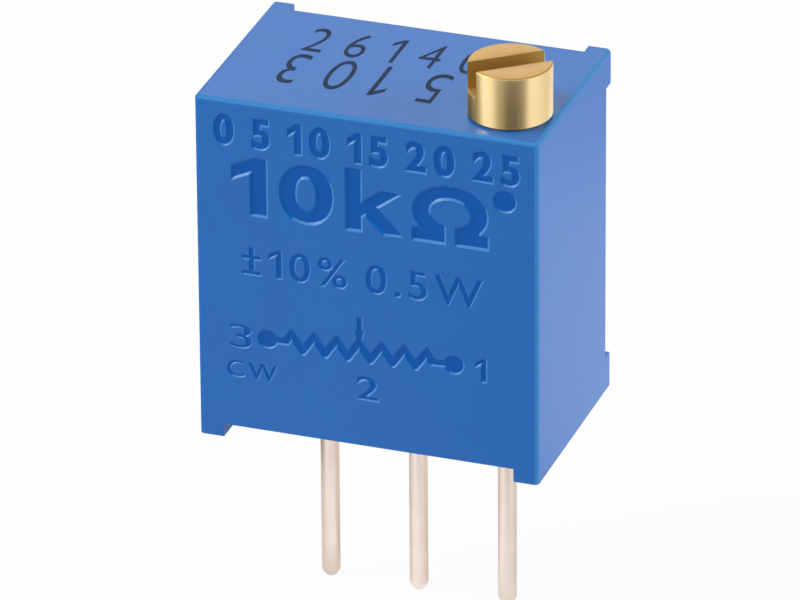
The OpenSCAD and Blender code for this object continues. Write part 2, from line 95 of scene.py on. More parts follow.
def add_node(
    tree: Tree, kind: str, inputs: Optional[dict[Any, Any]] = None, **settings: Any
) -> Node:
    """Adds one node to a tree, with its settings and its links.

    Args:
        tree: The node tree.
        kind: The node's type name, less its prefix ShaderNode.
        inputs: Socket names or numbers, each with a constant, with the output that feeds it, or
            with the node whose first output feeds it.
        settings: Properties of the node.

    Returns:
        The new node.
    """
    node = tree.nodes.new(f"ShaderNode{kind}")
    for name, value in settings.items():
        setattr(node, name, value)
    for socket, value in (inputs or {}).items():
        if isinstance(value, Node):
            value = value.outputs[0]
        if isinstance(value, Socket):
            tree.links.new(value, node.inputs[socket])
        else:
            node.inputs[socket].default_value = value
    return node


def compute(tree: Tree, operation: str, *values: Any, kind: str = "VectorMath") -> Node:
    """Adds a maths node that works on some values in order."""
    return add_node(tree, kind, dict(enumerate(values)), operation=operation)


def object_place(tree: Tree) -> Socket:
    """Gives the coordinates in the object's own frame."""
    return add_node(tree, "TexCoord").outputs["Object"]


def bare_tree(owner: bpy.types.ID) -> Tree:
    """Empties a node tree.

    Args:
        owner: The material or the world that has it.

    Returns:
        The tree.
    """
    owner.use_nodes = True
    owner.node_tree.nodes.clear()
    return owner.node_tree


def linked(name: str, data: bpy.types.ID) -> Object:
    """Makes an object and links it to the scene.

    Args:
        name: The object's name.
        data: Its mesh, curve, lamp or camera.

    Returns:
        The object.
    """
    made = bpy.data.objects.new(name, data)
    bpy.context.scene.collection.objects.link(made)
    return made


def mm_box(node: str) -> tuple[Array, Array]:
    """Gives a CAD node's lowest and highest corners in millimetres."""
    low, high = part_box(node)
    return np.array(low) / MM, np.array(high) / MM


# ---- Finishes ----


class Grain(Enum):
    """How a surface was made, which sets the direction of its fine marks."""

    EVEN = "moulded, cast, fired or printed: alike in every direction"
    TURNED = "turned on a lathe: rings round an axis along Z"
    DRAWN = "drawn through a die: lines along Z"
    ROLLED = "rolled sheet: lines along X"


@dataclass(frozen=True)
class Finish:
    """A surface finish, from what the real material is and how its surface was made.

    Two noises in object space make it up. A broad one shifts the colour towards a second shade. A
    fine one, stretched along the marks of the making, gives the relief and the spread of the gloss.
    The lay is how much further than along them a turned surface's rings scatter light across them.
    """

    name: str
    colour: str
    shade: str
    roughness: float
    spread: float = 0.05
    metallic: float = 0.0
    ior: float = 1.5
    grain: Grain = Grain.EVEN
    grain_mm: float = 0.1
    relief_um: float = 1.0
    blotch_mm: float = 2.0
    blotch: float = 0.5
    axis_mm: tuple[float, float] = (0.0, 0.0)
    stretch: float = 25.0
    lay: float = 0.0

    def from_axis(self, tree: Tree) -> Node:
        """Gives the coordinates from the axis of turning."""
        x, y = (-way * MM for way in self.axis_mm)
        return add_node(tree, "Mapping", {"Vector": object_place(tree), "Location": (x, y, 0.0)})

    def along_marks(self, tree: Tree) -> Any:
        """Gives the coordinates that the fine marks follow.

        Turned marks depend on the distance from the axis and the height alone, so they are rings.
        Drawn and rolled marks shrink one coordinate by the stretch, so they are long lines.

        Args:
            tree: The material's node tree.

        Returns:
            The output, or the node, that carries the coordinates.
        """
        if self.grain is Grain.EVEN:
            return object_place(tree)
        if self.grain is Grain.TURNED:
            centred = self.from_axis(tree)
            flat = compute(tree, "MULTIPLY", centred, (1.0, 1.0, 0.0))
            radius = compute(tree, "LENGTH", flat).outputs["Value"]
            height = add_node(tree, "SeparateXYZ", {0: centred}).outputs["Z"]
            return add_node(tree, "CombineXYZ", {"X": radius, "Y": 0.0, "Z": height})
        along = 1 / self.stretch
        scale = (1.0, 1.0, along) if self.grain is Grain.DRAWN else (along, 1.0, 1.0)
        return add_node(tree, "Mapping", {"Vector": object_place(tree), "Scale": scale})

    def round_axis(self, tree: Tree) -> Node:
        """Gives the direction of turned rings: Z crossed with the way out from the axis.

        Args:
            tree: The material's node tree.

        Returns:
            The node that carries the direction.
        """
        ring = compute(tree, "CROSS_PRODUCT", (0.0, 0.0, 1.0), self.from_axis(tree))
        spaces = {"convert_from": "OBJECT", "convert_to": "WORLD"}
        turned = add_node(tree, "VectorTransform", {0: ring}, **spaces)
        return compute(tree, "NORMALIZE", turned)

    def material(self) -> Material:
        """Builds the finish's material.

        Returns:
            The material, ready for a piece.
        """
        made = bpy.data.materials.new(self.name)
        tree = bare_tree(made)
        broad = noise(tree, object_place(tree), self.blotch_mm, detail=3.0, roughness=0.55)
        fine = noise(tree, self.along_marks(tree), self.grain_mm, detail=2.0, roughness=0.5)
        # Most of what the two noises give lies in these parts of their range.
        broad_part, fine_part, quarter_turn = (0.35, 0.65), (0.3, 0.7), 0.25
        share = ranged(tree, broad, broad_part, (0.0, self.blotch))
        gloss = (self.roughness - self.spread, self.roughness + self.spread)
        shades = {0: share, 6: linear(self.colour), 7: linear(self.shade)}
        bump = {"Height": fine, "Strength": 1.0, "Distance": self.relief_um * UM}
        look = {
            "Base Color": add_node(tree, "Mix", shades, data_type="RGBA").outputs[2],
            "Metallic": self.metallic,
            "Roughness": ranged(tree, fine, fine_part, gloss),
            "Normal": add_node(tree, "Bump", bump),
        }
        if not self.metallic:
            look["IOR"] = self.ior
        if self.lay:
            look |= {"Anisotropic": self.lay, "Anisotropic Rotation": quarter_turn}
            look["Tangent"] = self.round_axis(tree)
        shader = add_node(tree, "BsdfPrincipled", look)
        add_node(tree, "OutputMaterial", {"Surface": shader})
        return made


def noise(tree: Tree, place: Any, size_mm: float, detail: float, roughness: float) -> Node:
    """Adds a noise whose waves are of a size in millimetres."""
    shape = {"Scale": 1 / (size_mm * MM), "Detail": detail, "Roughness": roughness}
    return add_node(tree, "TexNoise", {"Vector": place, **shape})


def ranged(tree: Tree, value: Node, given: Sequence[float], wanted: Sequence[float]) -> Node:
    """Stretches one range of a value onto another and cuts off what lies beyond."""
    ends = dict(zip(("From Min", "From Max", "To Min", "To Max"), (*given, *wanted)))
    return add_node(tree, "MapRange", {"Value": value, **ends})


# Glass-filled thermoset, moulded in a spark-eroded tool: an even satin skin, very finely toothed.
CASE_PLASTIC = Finish(
    "moulded_blue_plastic", "0863B4", "0760B0", 0.4, ior=1.41, grain_mm=0.07, relief_um=0.7
)
# The same plastic on the marks' floors, smoother where the tool's letters were cut and polished.
# Its darker colour is painted shade for the sunk marks, and its low IOR weakens its sheen to match.
RECESS_SHADE_PLASTIC = replace(
    CASE_PLASTIC, name="recess_shaded_blue_plastic", colour="0555AA", shade="0552A5",
    roughness=0.34, spread=0.01, ior=1.2, grain_mm=0.12, relief_um=0.02,
)
# The floors' plastic on the marks' tapered walls that face right or down, away from the key light:
# painted paler, a painted light that lifts their shade to the floors' blue.
SHADE_LIFTED_WALL = replace(RECESS_SHADE_PLASTIC, name="shade_lifted_blue_wall", colour="0764BA", shade="0760B4")
# The same plastic on the marks' walls that face up or left, towards the key light: painted paler,
# as a painted highlight.
HIGHLIGHT_WALL_PLASTIC = replace(CASE_PLASTIC, name="highlight_painted_blue_wall", colour="3F7FBE", shade="3C7CBA")
# The same plastic along the case's rounded edges but the left one, painted paler: a painted
# highlight where the edges catch the light.
EDGE_HIGHLIGHT_PLASTIC = replace(CASE_PLASTIC, name="edge_highlight_blue_plastic", colour="2A7BBF", shade="2878BA")
# Free-turning brass: fine feed rings from the lathe, bright but not polished.
TURNED_BRASS = Finish(
    "turned_brass", "FBE0A9", "F5D79C", 0.28, spread=0.004, metallic=1.0, grain=Grain.TURNED,
    grain_mm=0.035, relief_um=0.04, blotch_mm=1.5, axis_mm=(3.495, -2.54), lay=0.85,
)
# The same brass faced off square to the axis: the tool's fine spiral scatters more, so it's
# rougher. Its darker colour is painted shade on the head's top.
SHADED_FACED_BRASS = replace(
    TURNED_BRASS, name="faced_brass_painted_shade", colour="B28E55", shade="A9864D", roughness=0.4, lay=0.0
)
# The same brass where the slitting saw went through: rough, so it mirrors nothing and takes the
# slot's own shade. Its colour, darker than the turned brass, paints more shade into the slot.
SHADED_SAWN_BRASS = replace(
    SHADED_FACED_BRASS, name="sawn_brass_painted_shade", colour="C4A45C", shade="BA9B56", roughness=0.6, grain=Grain.EVEN
)
# Copper wire with a reflowed tin coat: warm pale metal, faint drawing lines, a little waviness.
TINNED_WIRE = Finish(
    "tinned_copper_wire", "F6E7DE", "EBD9CF", 0.33, metallic=1.0, grain=Grain.DRAWN,
    grain_mm=0.04, relief_um=0.25, blotch_mm=0.8,
)
# Filled epoxy, cast and cured in place: a dark glossy skin, level but for slow waves.
POTTING_EPOXY = Finish(
    "cast_blue_epoxy", "13294A", "0F2140", 0.16, ior=1.55, grain_mm=0.5, relief_um=3.0
)
# Stamped marking ink: thin and matt, uneven where the stamp carried less.
MARKING_INK = Finish(
    "stamped_marking_ink", "16263C", "24385A", 0.75, ior=1.3, blotch_mm=0.3, blotch=0.7,
    relief_um=0.5,
)
# Nitrile rubber, moulded: matt black.
SEAL_RUBBER = Finish("moulded_nitrile_rubber", "1A1A1C", "222224", 0.55, ior=1.52)
# Stainless spring sheet, stamped: rolling lines along the strip.
RETAINER_STEEL = Finish(
    "stamped_spring_steel", "B4B3AF", "A3A29E", 0.3, metallic=1.0, grain=Grain.ROLLED,
    grain_mm=0.03,
)
# Acetal, moulded: ivory, with a slightly waxy sheen.
WHEEL_ACETAL = Finish("moulded_acetal", "E6E2D3", "DDD8C6", 0.38, ior=1.48)
# Precious-metal spring alloy, rolled bright.
WIPER_ALLOY = Finish(
    "rolled_wiper_alloy", "D6BB76", "C9AC64", 0.24, metallic=1.0, grain=Grain.ROLLED, grain_mm=0.02
)
# Alumina, fired: warm white and matt, with a grain of a few hundredths.
FIRED_ALUMINA = Finish("fired_alumina", "ECE9DF", "E1DDD0", 0.62, ior=1.76, grain_mm=0.05)
# Resistive glaze of metal oxide and glass, fired on the alumina: nearly black, slightly glossy.
FIRED_CERMET = Finish("fired_cermet_glaze", "1E1D20", "29272A", 0.35, ior=1.7, grain_mm=0.04)
# Palladium silver, screen printed and fired: pale and matt, with the print's mesh in its skin.
FIRED_SILVER = Finish("fired_silver_film", "C1BFB8", "B0AEA6", 0.46, metallic=1.0, grain_mm=0.06)
# Solder, reflowed: bright, rounded and a little frosted as it froze.
REFLOWED_SOLDER = Finish("reflowed_solder", "B8B9BC", "A6A7AA", 0.3, metallic=1.0, grain_mm=0.08)


# ---- Outlines ----


def winding(points: Array, loops: Loops) -> Array:
    """Counts how often the loops turn round each point.

    Each edge that crosses the level of a point to its right counts +1 upwards and -1 downwards.

    Args:
        points: Flat points, as an array of n by 2.
        loops: Closed outlines, each an array of points.

    Returns:
        One whole number per point.
    """
    start = np.vstack(loops)
    end = np.vstack([np.roll(loop, -1, 0) for loop in loops])
    x, y = points[:, :1], points[:, 1:]
    rise = end[:, 1] - start[:, 1]
    share = (y - start[:, 1]) / np.where(rise == 0, 1.0, rise)
    right = start[:, 0] + share * (end[:, 0] - start[:, 0]) > x
    up = (start[:, 1] <= y) & (end[:, 1] > y) & right
    down = (end[:, 1] <= y) & (start[:, 1] > y) & right
    return up.sum(1) - down.sum(1)


def fill(
    outer: Loops, holes: Loops = (), extra: Optional[Array] = None
) -> tuple[Array, Array]:
    """Triangulates the flat region inside some closed outlines and outside others.

    Of a Delaunay triangulation that keeps the outlines' edges, the triangles stay whose centre is
    inside the region, but for slivers.

    Args:
        outer: Outlines that hold the region.
        holes: Outlines that it leaves out.
        extra: More points to use between them.

    Returns:
        The points, and the triangles as rows of three indices, turning left.
    """
    loops = [*outer, *holes]
    edges = []
    first = 0
    for loop in loops:
        index = np.arange(len(loop))
        edges.append(np.stack([index, np.roll(index, -1)], 1) + first)
        first += len(loop)
    points = np.vstack(loops + ([extra] if extra is not None else []))
    places, sides = [Vector(p) for p in points.tolist()], np.vstack(edges).tolist()
    whole_hull, epsilon, with_sources, sliver = 0, 1e-6, False, 1e-9
    made = delaunay_2d_cdt(places, sides, [], whole_hull, epsilon, with_sources)
    flat = np.array([tuple(v) for v in made[0]])
    faces = np.array(made[2])
    a, b, c = (flat[faces[:, i]] for i in range(3))
    area = (b[:, 0] - a[:, 0]) * (c[:, 1] - a[:, 1]) - (b[:, 1] - a[:, 1]) * (c[:, 0] - a[:, 0])
    faces = np.where(area[:, None] < 0, faces[:, ::-1], faces)
    middle = (a + b + c) / 3
    keep = (winding(middle, outer) != 0) & (np.abs(area) > sliver)
    if len(holes):
        keep &= winding(middle, holes) == 0
    return flat, faces[keep]


def chained(sides: Iterable[tuple[int, int]]) -> list[list[int]]:
    """Chains the sides of some faces that have no neighbour among them into loops.

    Args:
        sides: Every face's sides, each as the numbers of its start and its end.

    Returns:
        The loops, each as its points' numbers.
    """
    known = set(sides)
    following = {a: b for a, b in known if (b, a) not in known}
    loops = []
    while following:
        start, here = following.popitem()
        loops.append([start])
        while here != start:
            loops[-1].append(here)
            here = following.pop(here)
    return loops


def merged(loops: Loops) -> list[Array]:
    """Joins outlines that overlap into the outer edge of their union.

    Args:
        loops: Closed outlines, where holes turn the other way.

    Returns:
        Clean outlines with the region on their left.
    """
    flat, faces = fill(loops)
    sides = np.vstack([faces[:, [0, 1]], faces[:, [1, 2]], faces[:, [2, 0]]])
    return [flat[chain] for chain in chained(map(tuple, sides.tolist()))]


def right_of(edges: Array) -> Array:
    """Gives the unit normals on the right of some edges."""
    ways = edges / np.linalg.norm(edges, axis=1, keepdims=True)
    return np.stack([ways[:, 1], -ways[:, 0]], 1)


def mitres(before: Array, after: Array, amount: float) -> Array:
    """Gives the steps that move corners, with their edges, outwards by an amount.

    A step runs along the bisector of the edges' normals. Its length is the amount over the cosine
    of half the corner, and at most twice the amount.

    Args:
        before: The normals of the edges before the corners.
        after: The normals of the edges after them.
        amount: The distance, less than zero for inwards.

    Returns:
        One step per corner.
    """
    middle = after + before
    middle /= np.maximum(np.linalg.norm(middle, axis=1, keepdims=True), 1e-9)
    least_cosine = 0.5
    return amount * middle / np.maximum((middle * after).sum(1, keepdims=True), least_cosine)


def grown(loop: Array, amount: float) -> Array:
    """Moves a closed outline with its region on the left outwards by an amount."""
    normal = right_of(np.roll(loop, -1, 0) - loop)
    return loop + mitres(np.roll(normal, 1, 0), normal, amount)


def ribbon(line: Array, width: float) -> tuple[Array, Array]:
    """Moves a line to both sides by half a width.

    Args:
        line: The line's points.
        width: The full width.

    Returns:
        The points on its right and on its left.
    """
    normal = right_of(np.diff(line, axis=0))
    before, after = np.vstack([normal[:1], normal]), np.vstack([normal, normal[-1:]])
    reach = mitres(before, after, width / 2)
    return line + reach, line - reach


def arc(centre: Sequence[float], radius: float, start: float, end: float, steps: int) -> Array:
    """Points on a circle: the centre plus the radius along angles from start to end, in degrees."""
    angle = np.radians(np.linspace(start, end, steps))
    return np.array(centre) + radius * np.stack([np.cos(angle), np.sin(angle)], 1)


# ---- Writing ----

# Samples of a curved stretch, the least step between points, and how much a straight stretch bends.
CURVE_STEPS = 6
LEAST_STEP = 0.012
STRAIGHT = 1e-6
# The right half of a plus whose foot is widened into a minus.
PLUS = [(0.4, 0), (0.4, 0.085), (0.245, 0.085), (0.245, 0.38), (0.4, 0.38), (0.4, 0.465)]
PLUS += [(0.245, 0.465), (0.245, 0.66)]
RING = (0.33, 0.375)
# Characters of an own cut, each one outline: a one with a slanted flag and no foot, a small k of
# stem, leg and arm, an open ring on two feet for ohm, and the plus with its minus.
OWN_GLYPHS: dict[str, list[Any]] = {
    "1": [(0.17, 0), (0.27, 0), (0.27, 0.69), (0.18, 0.69), (0, 0.57), (0, 0.47), (0.17, 0.575)],
    "k": [(0, 0), (0.09, 0), (0.09, 0.17), (0.155, 0.24), (0.325, 0), (0.44, 0), (0.22, 0.31)]
    + [(0.42, 0.5), (0.3, 0.5), (0.09, 0.285), (0.09, 0.74), (0, 0.74)],
    "Ω": [(0.01, 0), (0.255, 0), *arc(RING, 0.22, -110, -430, 30)]
    + [(0.405, 0), (0.65, 0), (0.65, 0.1), (0.571, 0.1), *arc(RING, 0.315, -40, 220, 36)]
    + [(0.089, 0.1), (0.01, 0.1)],
    "±": PLUS + [(0.4 - x, z) for x, z in reversed(PLUS)],
}


@lru_cache(maxsize=None)
def glyph(character: str) -> tuple[Array, ...]:
    """Gives a character's outlines, with its strokes on their left.

    Args:
        character: One character.

    Returns:
        Clean outlines in units of the type size.
    """
    if character in OWN_GLYPHS:
        return (np.array(OWN_GLYPHS[character]),)
    curve = bpy.data.curves.new("writing", "FONT")
    curve.body = character
    written = linked("writing", curve)
    bpy.context.view_layer.update()
    drawn = written.to_curve(bpy.context.evaluated_depsgraph_get())
    loops = [sampled(spline) for spline in drawn.splines]
    bpy.data.objects.remove(written)
    widest = max(loops, key=np.ptp)
    following = np.roll(widest, -1, 0)
    if (widest[:, 0] * following[:, 1] - widest[:, 1] * following[:, 0]).sum() < 0:
        loops = [loop[::-1] for loop in loops]
    return tuple(thinned(loop) for loop in merged(loops))


def thinned(loop: Array) -> Array:
    """Leaves out the points of a loop that lie closer than the least step to the one before."""
    step = np.linalg.norm(loop - np.roll(loop, 1, 0), axis=1)
    return loop[step > LEAST_STEP]


def sampled(spline: bpy.types.Spline) -> Array:
    """Samples one closed cubic spline.

    Between two knots a point is the sum of the knots and their handles, weighed by the cubic
    Bernstein polynomials. A straight stretch has its first knot alone.

    Args:
        spline: The spline.

    Returns:
        The outline's points.
    """
    parts = []
    for name in ("co", "handle_right", "handle_left"):
        values = np.empty(len(spline.bezier_points) * 3)
        spline.bezier_points.foreach_get(name, values)
        parts.append(values.reshape(-1, 3)[:, :2])
    start, leave, arrive = parts
    end, arrive = np.roll(start, -1, 0), np.roll(arrive, -1, 0)
    t = np.linspace(0, 1, CURVE_STEPS, endpoint=False)[:, None, None]
    points = (1 - t) ** 3 * start + 3 * t * (1 - t) ** 2 * leave + 3 * t**2 * (1 - t) * arrive
    points += t**3 * end
    chord, off = end - start, leave - start
    straight = np.abs(chord[:, 0] * off[:, 1] - chord[:, 1] * off[:, 0]) < STRAIGHT
    keep = np.broadcast_to(~straight, points.shape[:2]).copy()
    keep[0] = True
    return points.transpose(1, 0, 2)[keep.T]


@dataclass(frozen=True)
class Writing:
    """A line of plain characters, stretched to fill a box on its face, in millimetres."""

    text: str
    left: float
    right: float
    low: float
    high: float
    weight: float = 0.0
    gap: float = 0.13
    space: float = 0.25
    draft: float = 0.045
    upside_down: bool = False

    def outlines(self) -> list[Array]:
        """Sets the characters side by side, with even gaps, and fits the line to its box.

        The line is stretched to the box less the weight, and its strokes then grow by the weight.

        Returns:
            Outlines on the face, with the strokes on their left.
        """
        loops = []
        pen = 0.0
        for character in self.text:
            if character == " ":
                pen += self.space
                continue
            drawn = glyph(character)
            across = np.concatenate([loop[:, 0] for loop in drawn])
            loops += [loop + [pen - across.min(), 0] for loop in drawn]
            pen += np.ptp(across) + self.gap
        everything = np.vstack(loops)
        low, size = everything.min(0), np.ptp(everything, axis=0)
        corner = np.array([self.left, self.low]) + self.weight
        room = np.array([self.right - self.left, self.high - self.low]) - 2 * self.weight
        shares = [(loop - low) / size for loop in loops]
        if self.upside_down:
            shares = [1 - share for share in shares]
        return [grown(corner + share * room, self.weight) for share in shares]


# ---- Meshes ----


@dataclass
class Mesher:
    """A mesh in the making, in millimetres."""

    solid: bmesh.types.BMesh = field(default_factory=bmesh.new)

    @classmethod
    def copied(cls, node: str) -> "Mesher":
        """Copies a CAD node's mesh, with its doubled points merged and its flat faces joined.

        Args:
            node: The node's name.

        Returns:
            The copy.
        """
        copy = cls()
        solid = copy.solid
        solid.from_mesh(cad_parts[node].data)
        solid.transform(Matrix.Scale(1 / MM, 4))
        copy.weld()
        flat = math.radians(0.4)
        bmesh.ops.dissolve_limit(solid, angle_limit=flat, verts=solid.verts, edges=solid.edges)
        return copy

    def add(self, points: Array, faces: Array, material: int = 0) -> None:
        """Adds faces.

        Args:
            points: The corners, n by 3.
            faces: The corners' indices, one row per face.
            material: The faces' material slot.
        """
        corners = [self.solid.verts.new(p) for p in points.tolist()]
        for face in faces.tolist():
            self.solid.faces.new([corners[i] for i in face]).material_index = material

    def add_grid(self, grid: Array, material: int = 0) -> None:
        """Adds the faces of a grid of points, whose last column joins the first.

        Args:
            grid: Rows by columns of points. The faces look to the side from which the columns run
                right while the rows run up.
            material: The faces' material slot.
        """
        rows, columns = grid.shape[:2]
        index = np.arange(rows * columns).reshape(rows, columns)
        right = np.roll(index, -1, 1)
        faces = np.stack([index[:-1], right[:-1], right[1:], index[1:]], -1)
        self.add(grid.reshape(-1, 3), faces.reshape(-1, 4), material)

    def weld(self, dist: float = MERGE_MM) -> None:
        """Merges points that lie in one place, which closes seams and poles."""
        bmesh.ops.remove_doubles(self.solid, verts=self.solid.verts, dist=dist)

    def break_edges(self, chosen: list[Edge], width: float) -> None:
        """Rounds some edges by a small width."""
        shape = {"offset_type": "OFFSET", "segments": 2, "profile": 0.5, "affect": "EDGES"}
        bmesh.ops.bevel(self.solid, geom=chosen, offset=width, clamp_overlap=True, **shape)

    def sharp_edges(self, angle: float) -> list[Edge]:
        """Lists the convex edges that turn by more than an angle, in degrees."""
        pairs = (e for e in self.solid.edges if len(e.link_faces) == 2)
        return [e for e in pairs if e.calc_face_angle_signed(0) > math.radians(angle)]

    def open_at(self, chosen: Callable[[bmesh.types.BMFace], bool]) -> list[Array]:
        """Takes out some faces.

        Args:
            chosen: Tells which faces go.

        Returns:
            The flat loops of x and z round the opening, which lies on their left from outside.
        """
        self.solid.verts.index_update()
        places = np.array([tuple(v.co) for v in self.solid.verts])
        gone = [f for f in self.solid.faces if chosen(f)]
        sides = ((l.vert.index, l.link_loop_next.vert.index) for f in gone for l in f.loops)
        loops = [places[chain][:, [0, 2]] for chain in chained(sides)]
        bmesh.ops.delete(self.solid, geom=gone, context="FACES")
        return loops

    def sort_faces(self) -> None:
        """Puts the faces in the order of their points.

        New faces take up the room of deleted ones, so their own order changes from run to run.
        """
        self.solid.verts.index_update()
        ordered = sorted(self.solid.faces, key=lambda f: sorted(v.index for v in f.verts))
        place = {face: i for i, face in enumerate(ordered)}
        self.solid.faces.sort(key=place.get)

    def mesh(self, name: str, scale: float = 1.0) -> bpy.types.Mesh:
        """Turns the shape into a mesh, which ends the work on it.

        Args:
            name: The mesh's name.
            scale: The mesh's size over the shape's.

        Returns:
            The mesh.
        """
        made = bpy.data.meshes.new(name)
        self.solid.transform(Matrix.Scale(scale, 4))
        self.solid.to_mesh(made)
        self.solid.free()
        return made

    def piece(self, name: str, finishes: Sequence[Finish], smooth: float = 32.0) -> Object:
        """Makes the object, in metres, with its origin at the part's origin.

        Args:
            name: The object's name.
            finishes: One finish per material slot.
            smooth: The angle in degrees above which an edge stays sharp.

        Returns:
            The object.
        """
        self.sort_faces()
        self.solid.normal_update()
        for e in self.solid.edges:
            e.smooth = len(e.link_faces) == 2 and e.calc_face_angle() < math.radians(smooth)
        for f in self.solid.faces:
            f.smooth = True
        mesh = self.mesh(name, MM)
        for finish in finishes:
            mesh.materials.append(finish.material())
        made = linked(name, mesh)
        made.modifiers.new("even_shading", "WEIGHTED_NORMAL").keep_sharp = True
        log.info("%s: %d faces", name, len(mesh.polygons))
        return made

    def cut(self, tool: "Mesher", how: str) -> "Mesher":
        """Joins or subtracts a tool with an exact boolean.

        Args:
            tool: The other closed shape.
            how: UNION or DIFFERENCE.

        Returns:
            The result, in place of both.
        """
        for shape in (self, tool):
            bmesh.ops.recalc_face_normals(shape.solid, faces=shape.solid.faces)
        body, other = (linked("scratch", shape.mesh("scratch")) for shape in (self, tool))
        step = body.modifiers.new("cut", "BOOLEAN")
        step.operation, step.solver, step.object = how, "EXACT", other
        done = body.evaluated_get(bpy.context.evaluated_depsgraph_get())
        made = Mesher()
        made.solid.from_mesh(bpy.data.meshes.new_from_object(done))
        for scratch in (body, other):
            bpy.data.objects.remove(scratch)
        return made


def laid(flat: Array, height: Any, across: int) -> Array:
    """Lays flat points on a plane: its height, or one for each, goes in as a third coordinate."""
    return np.insert(flat, across, height, axis=1)


# ---- Case ----


class Skin(IntEnum):
    """The case's material slots; all but the plain one hold painted light or shade."""

    PLAIN = 0
    FLOOR = 1
    LIT_WALL = 2
    EDGE_HIGHLIGHT = 3
    SHADED_WALL = 4


@dataclass
class MouldedCase:
    """The blue case: a copy of its solid with broken edges and sunk marks in the front face.

    The marks' walls are tapered: they lean out by a draft, and go down by the steepness times it.
    """

    edge_break: float = 0.02
    least_edge: float = 0.2
    outer_band: float = 0.75
    rail_h: float = 0.39
    standoff_h: float = 0.4
    highlight_band: float = 0.14
    highlight_slant: float = 0.1
    wall_lean: float = -0.2
    steepness: float = 0.75
    draft: float = 0.045
    symbol_stroke: float = 0.16
    dot_r: float = 0.25
    dot_overlap: float = 0.9
    left_dot: tuple[float, float] = (-2.79, 3.13)
    right_dot: tuple[float, float] = (2.43, 3.21)
    zigzag_start: float = -2.11
    zigzag_end: float = 1.68
    zigzag_peaks: int = 7
    zigzag_low: float = 2.975
    zigzag_high: float = 3.43
    zigzag_rise: float = 0.021
    zigzag_blunt: float = 0.1
    arrow_x: float = -0.2
    arrow_top: float = 4.155
    arrow_tip: float = 3.4
    arrow_head: tuple[float, float] = (0.19, 0.36)
    arrow_stroke: float = 0.085
    writings: tuple[Writing, ...] = (
        Writing("0 5 10 15 20 25", -4.2, 4.24, 8.7, 9.56, weight=0.02, gap=0.28),
        Writing("10kΩ", -3.7, 3.36, 6.74, 8.49, weight=0.045, gap=0.17, draft=0.065),
        Writing("±10% 0.5W", -3.45, 3.21, 4.97, 5.79, weight=-0.008, gap=0.2, draft=0.036),
        Writing("3", -3.83, -3.26, 2.75, 3.43, weight=-0.014, draft=0.03),
        Writing("CW", -3.93, -2.55, 1.88, 2.34, weight=-0.008, gap=0.19, draft=0.035),
        Writing("1", 3.06, 3.31, 2.84, 3.49),
        Writing("2", -0.27, 0.3, 1.77, 2.44, weight=-0.01),
    )
    first_pin_dot: tuple[float, float] = (3.85, 8.22)
    first_pin_dot_r: float = 0.29

    def resistor_symbol(self) -> Array:
        """Draws the resistor: two round dots joined by a zigzag line, as one outline.

        The zigzag's corners alternate between two heights at even steps. Its outer tips are cut off
        level, a little beyond those heights. At last the line is tilted by the rise times x.

        Returns:
            The outline, with the symbol on its left.
        """
        low, high, rise = self.zigzag_low, self.zigzag_high, self.zigzag_rise
        corners = 2 * self.zigzag_peaks - 1
        x, step = np.linspace(self.zigzag_start, self.zigzag_end, corners, retstep=True)
        z = np.where(np.arange(corners) % 2 == 0, high, low)
        start, end = (z - rise * x for x, z in (self.left_dot, self.right_dot))
        reach = self.dot_overlap * self.dot_r
        line = np.vstack(
            [
                [(self.left_dot[0] + reach, start), (x[0] - step / 2, start)],
                np.stack([x, z], 1),
                [(x[-1] + step / 2, end), (self.right_dot[0] - reach, end)],
            ]
        )
        lower, upper = ribbon(line, self.symbol_stroke)
        slope = (high - low) / step
        lower = self.blunted(lower, -1, slope, self.zigzag_blunt - low)
        upper = self.blunted(upper, 1, slope, self.zigzag_blunt + high)
        for side in (lower, upper):
            side[:, 1] += rise * side[:, 0]
        gap = math.degrees(math.asin(self.symbol_stroke / 2 / self.dot_r))
        left = arc(self.left_dot, self.dot_r, gap, 360 - gap, 24)
        right = arc(self.right_dot, self.dot_r, 180 + gap, 540 - gap, 24)
        return np.vstack([left, lower[1:-1], right, upper[1:-1][::-1]])

    @staticmethod
    def blunted(side: Array, way: int, slope: float, limit: float) -> Array:
        """Cuts the tips of one side of the zigzag off at a height.

        A tip becomes two points, which stand apart by twice the cut's depth over the slope.

        Args:
            side: The side's points.
            way: 1 for tips that point up, or -1.
            slope: The rise of the strokes over their run.
            limit: The height of the cut, times the way.

        Returns:
            The cut side's points.
        """
        beyond = np.maximum(side[:, 1] * way - limit, 0)
        both = np.repeat(side, np.where(beyond > 0, 2, 1), axis=0)
        spread = np.concatenate([[-b, b] if b > 0 else [0.0] for b in beyond / slope])
        excess = np.concatenate([[b, b] if b > 0 else [0.0] for b in beyond])
        return both + np.stack([spread, -way * excess], 1)

    def arrow(self) -> Array:
        """Draws the wiper's arrow, pointing down at the zigzag.

        Returns:
            The outline, with the arrow on its left.
        """
        w, half = self.arrow_stroke / 2, self.arrow_head[0] / 2
        neck = self.arrow_tip + self.arrow_head[1]
        right = [(half, neck), (w, neck), (w, self.arrow_top)]
        left = [(-x, z) for x, z in reversed(right)]
        return np.array([(0, self.arrow_tip), *right, *left]) + [self.arrow_x, 0]

    def marks(self) -> list[tuple[list[Array], float]]:
        """Lists all that is sunk into the front face.

        Returns:
            Pairs of outlines of the floors and the draft of their walls.
        """
        shapes = merged([self.resistor_symbol(), self.arrow()])
        shapes.append(arc(self.first_pin_dot, self.first_pin_dot_r, 0, 350, 36))
        return [(shapes, self.draft)] + [(w.outlines(), w.draft) for w in self.writings]

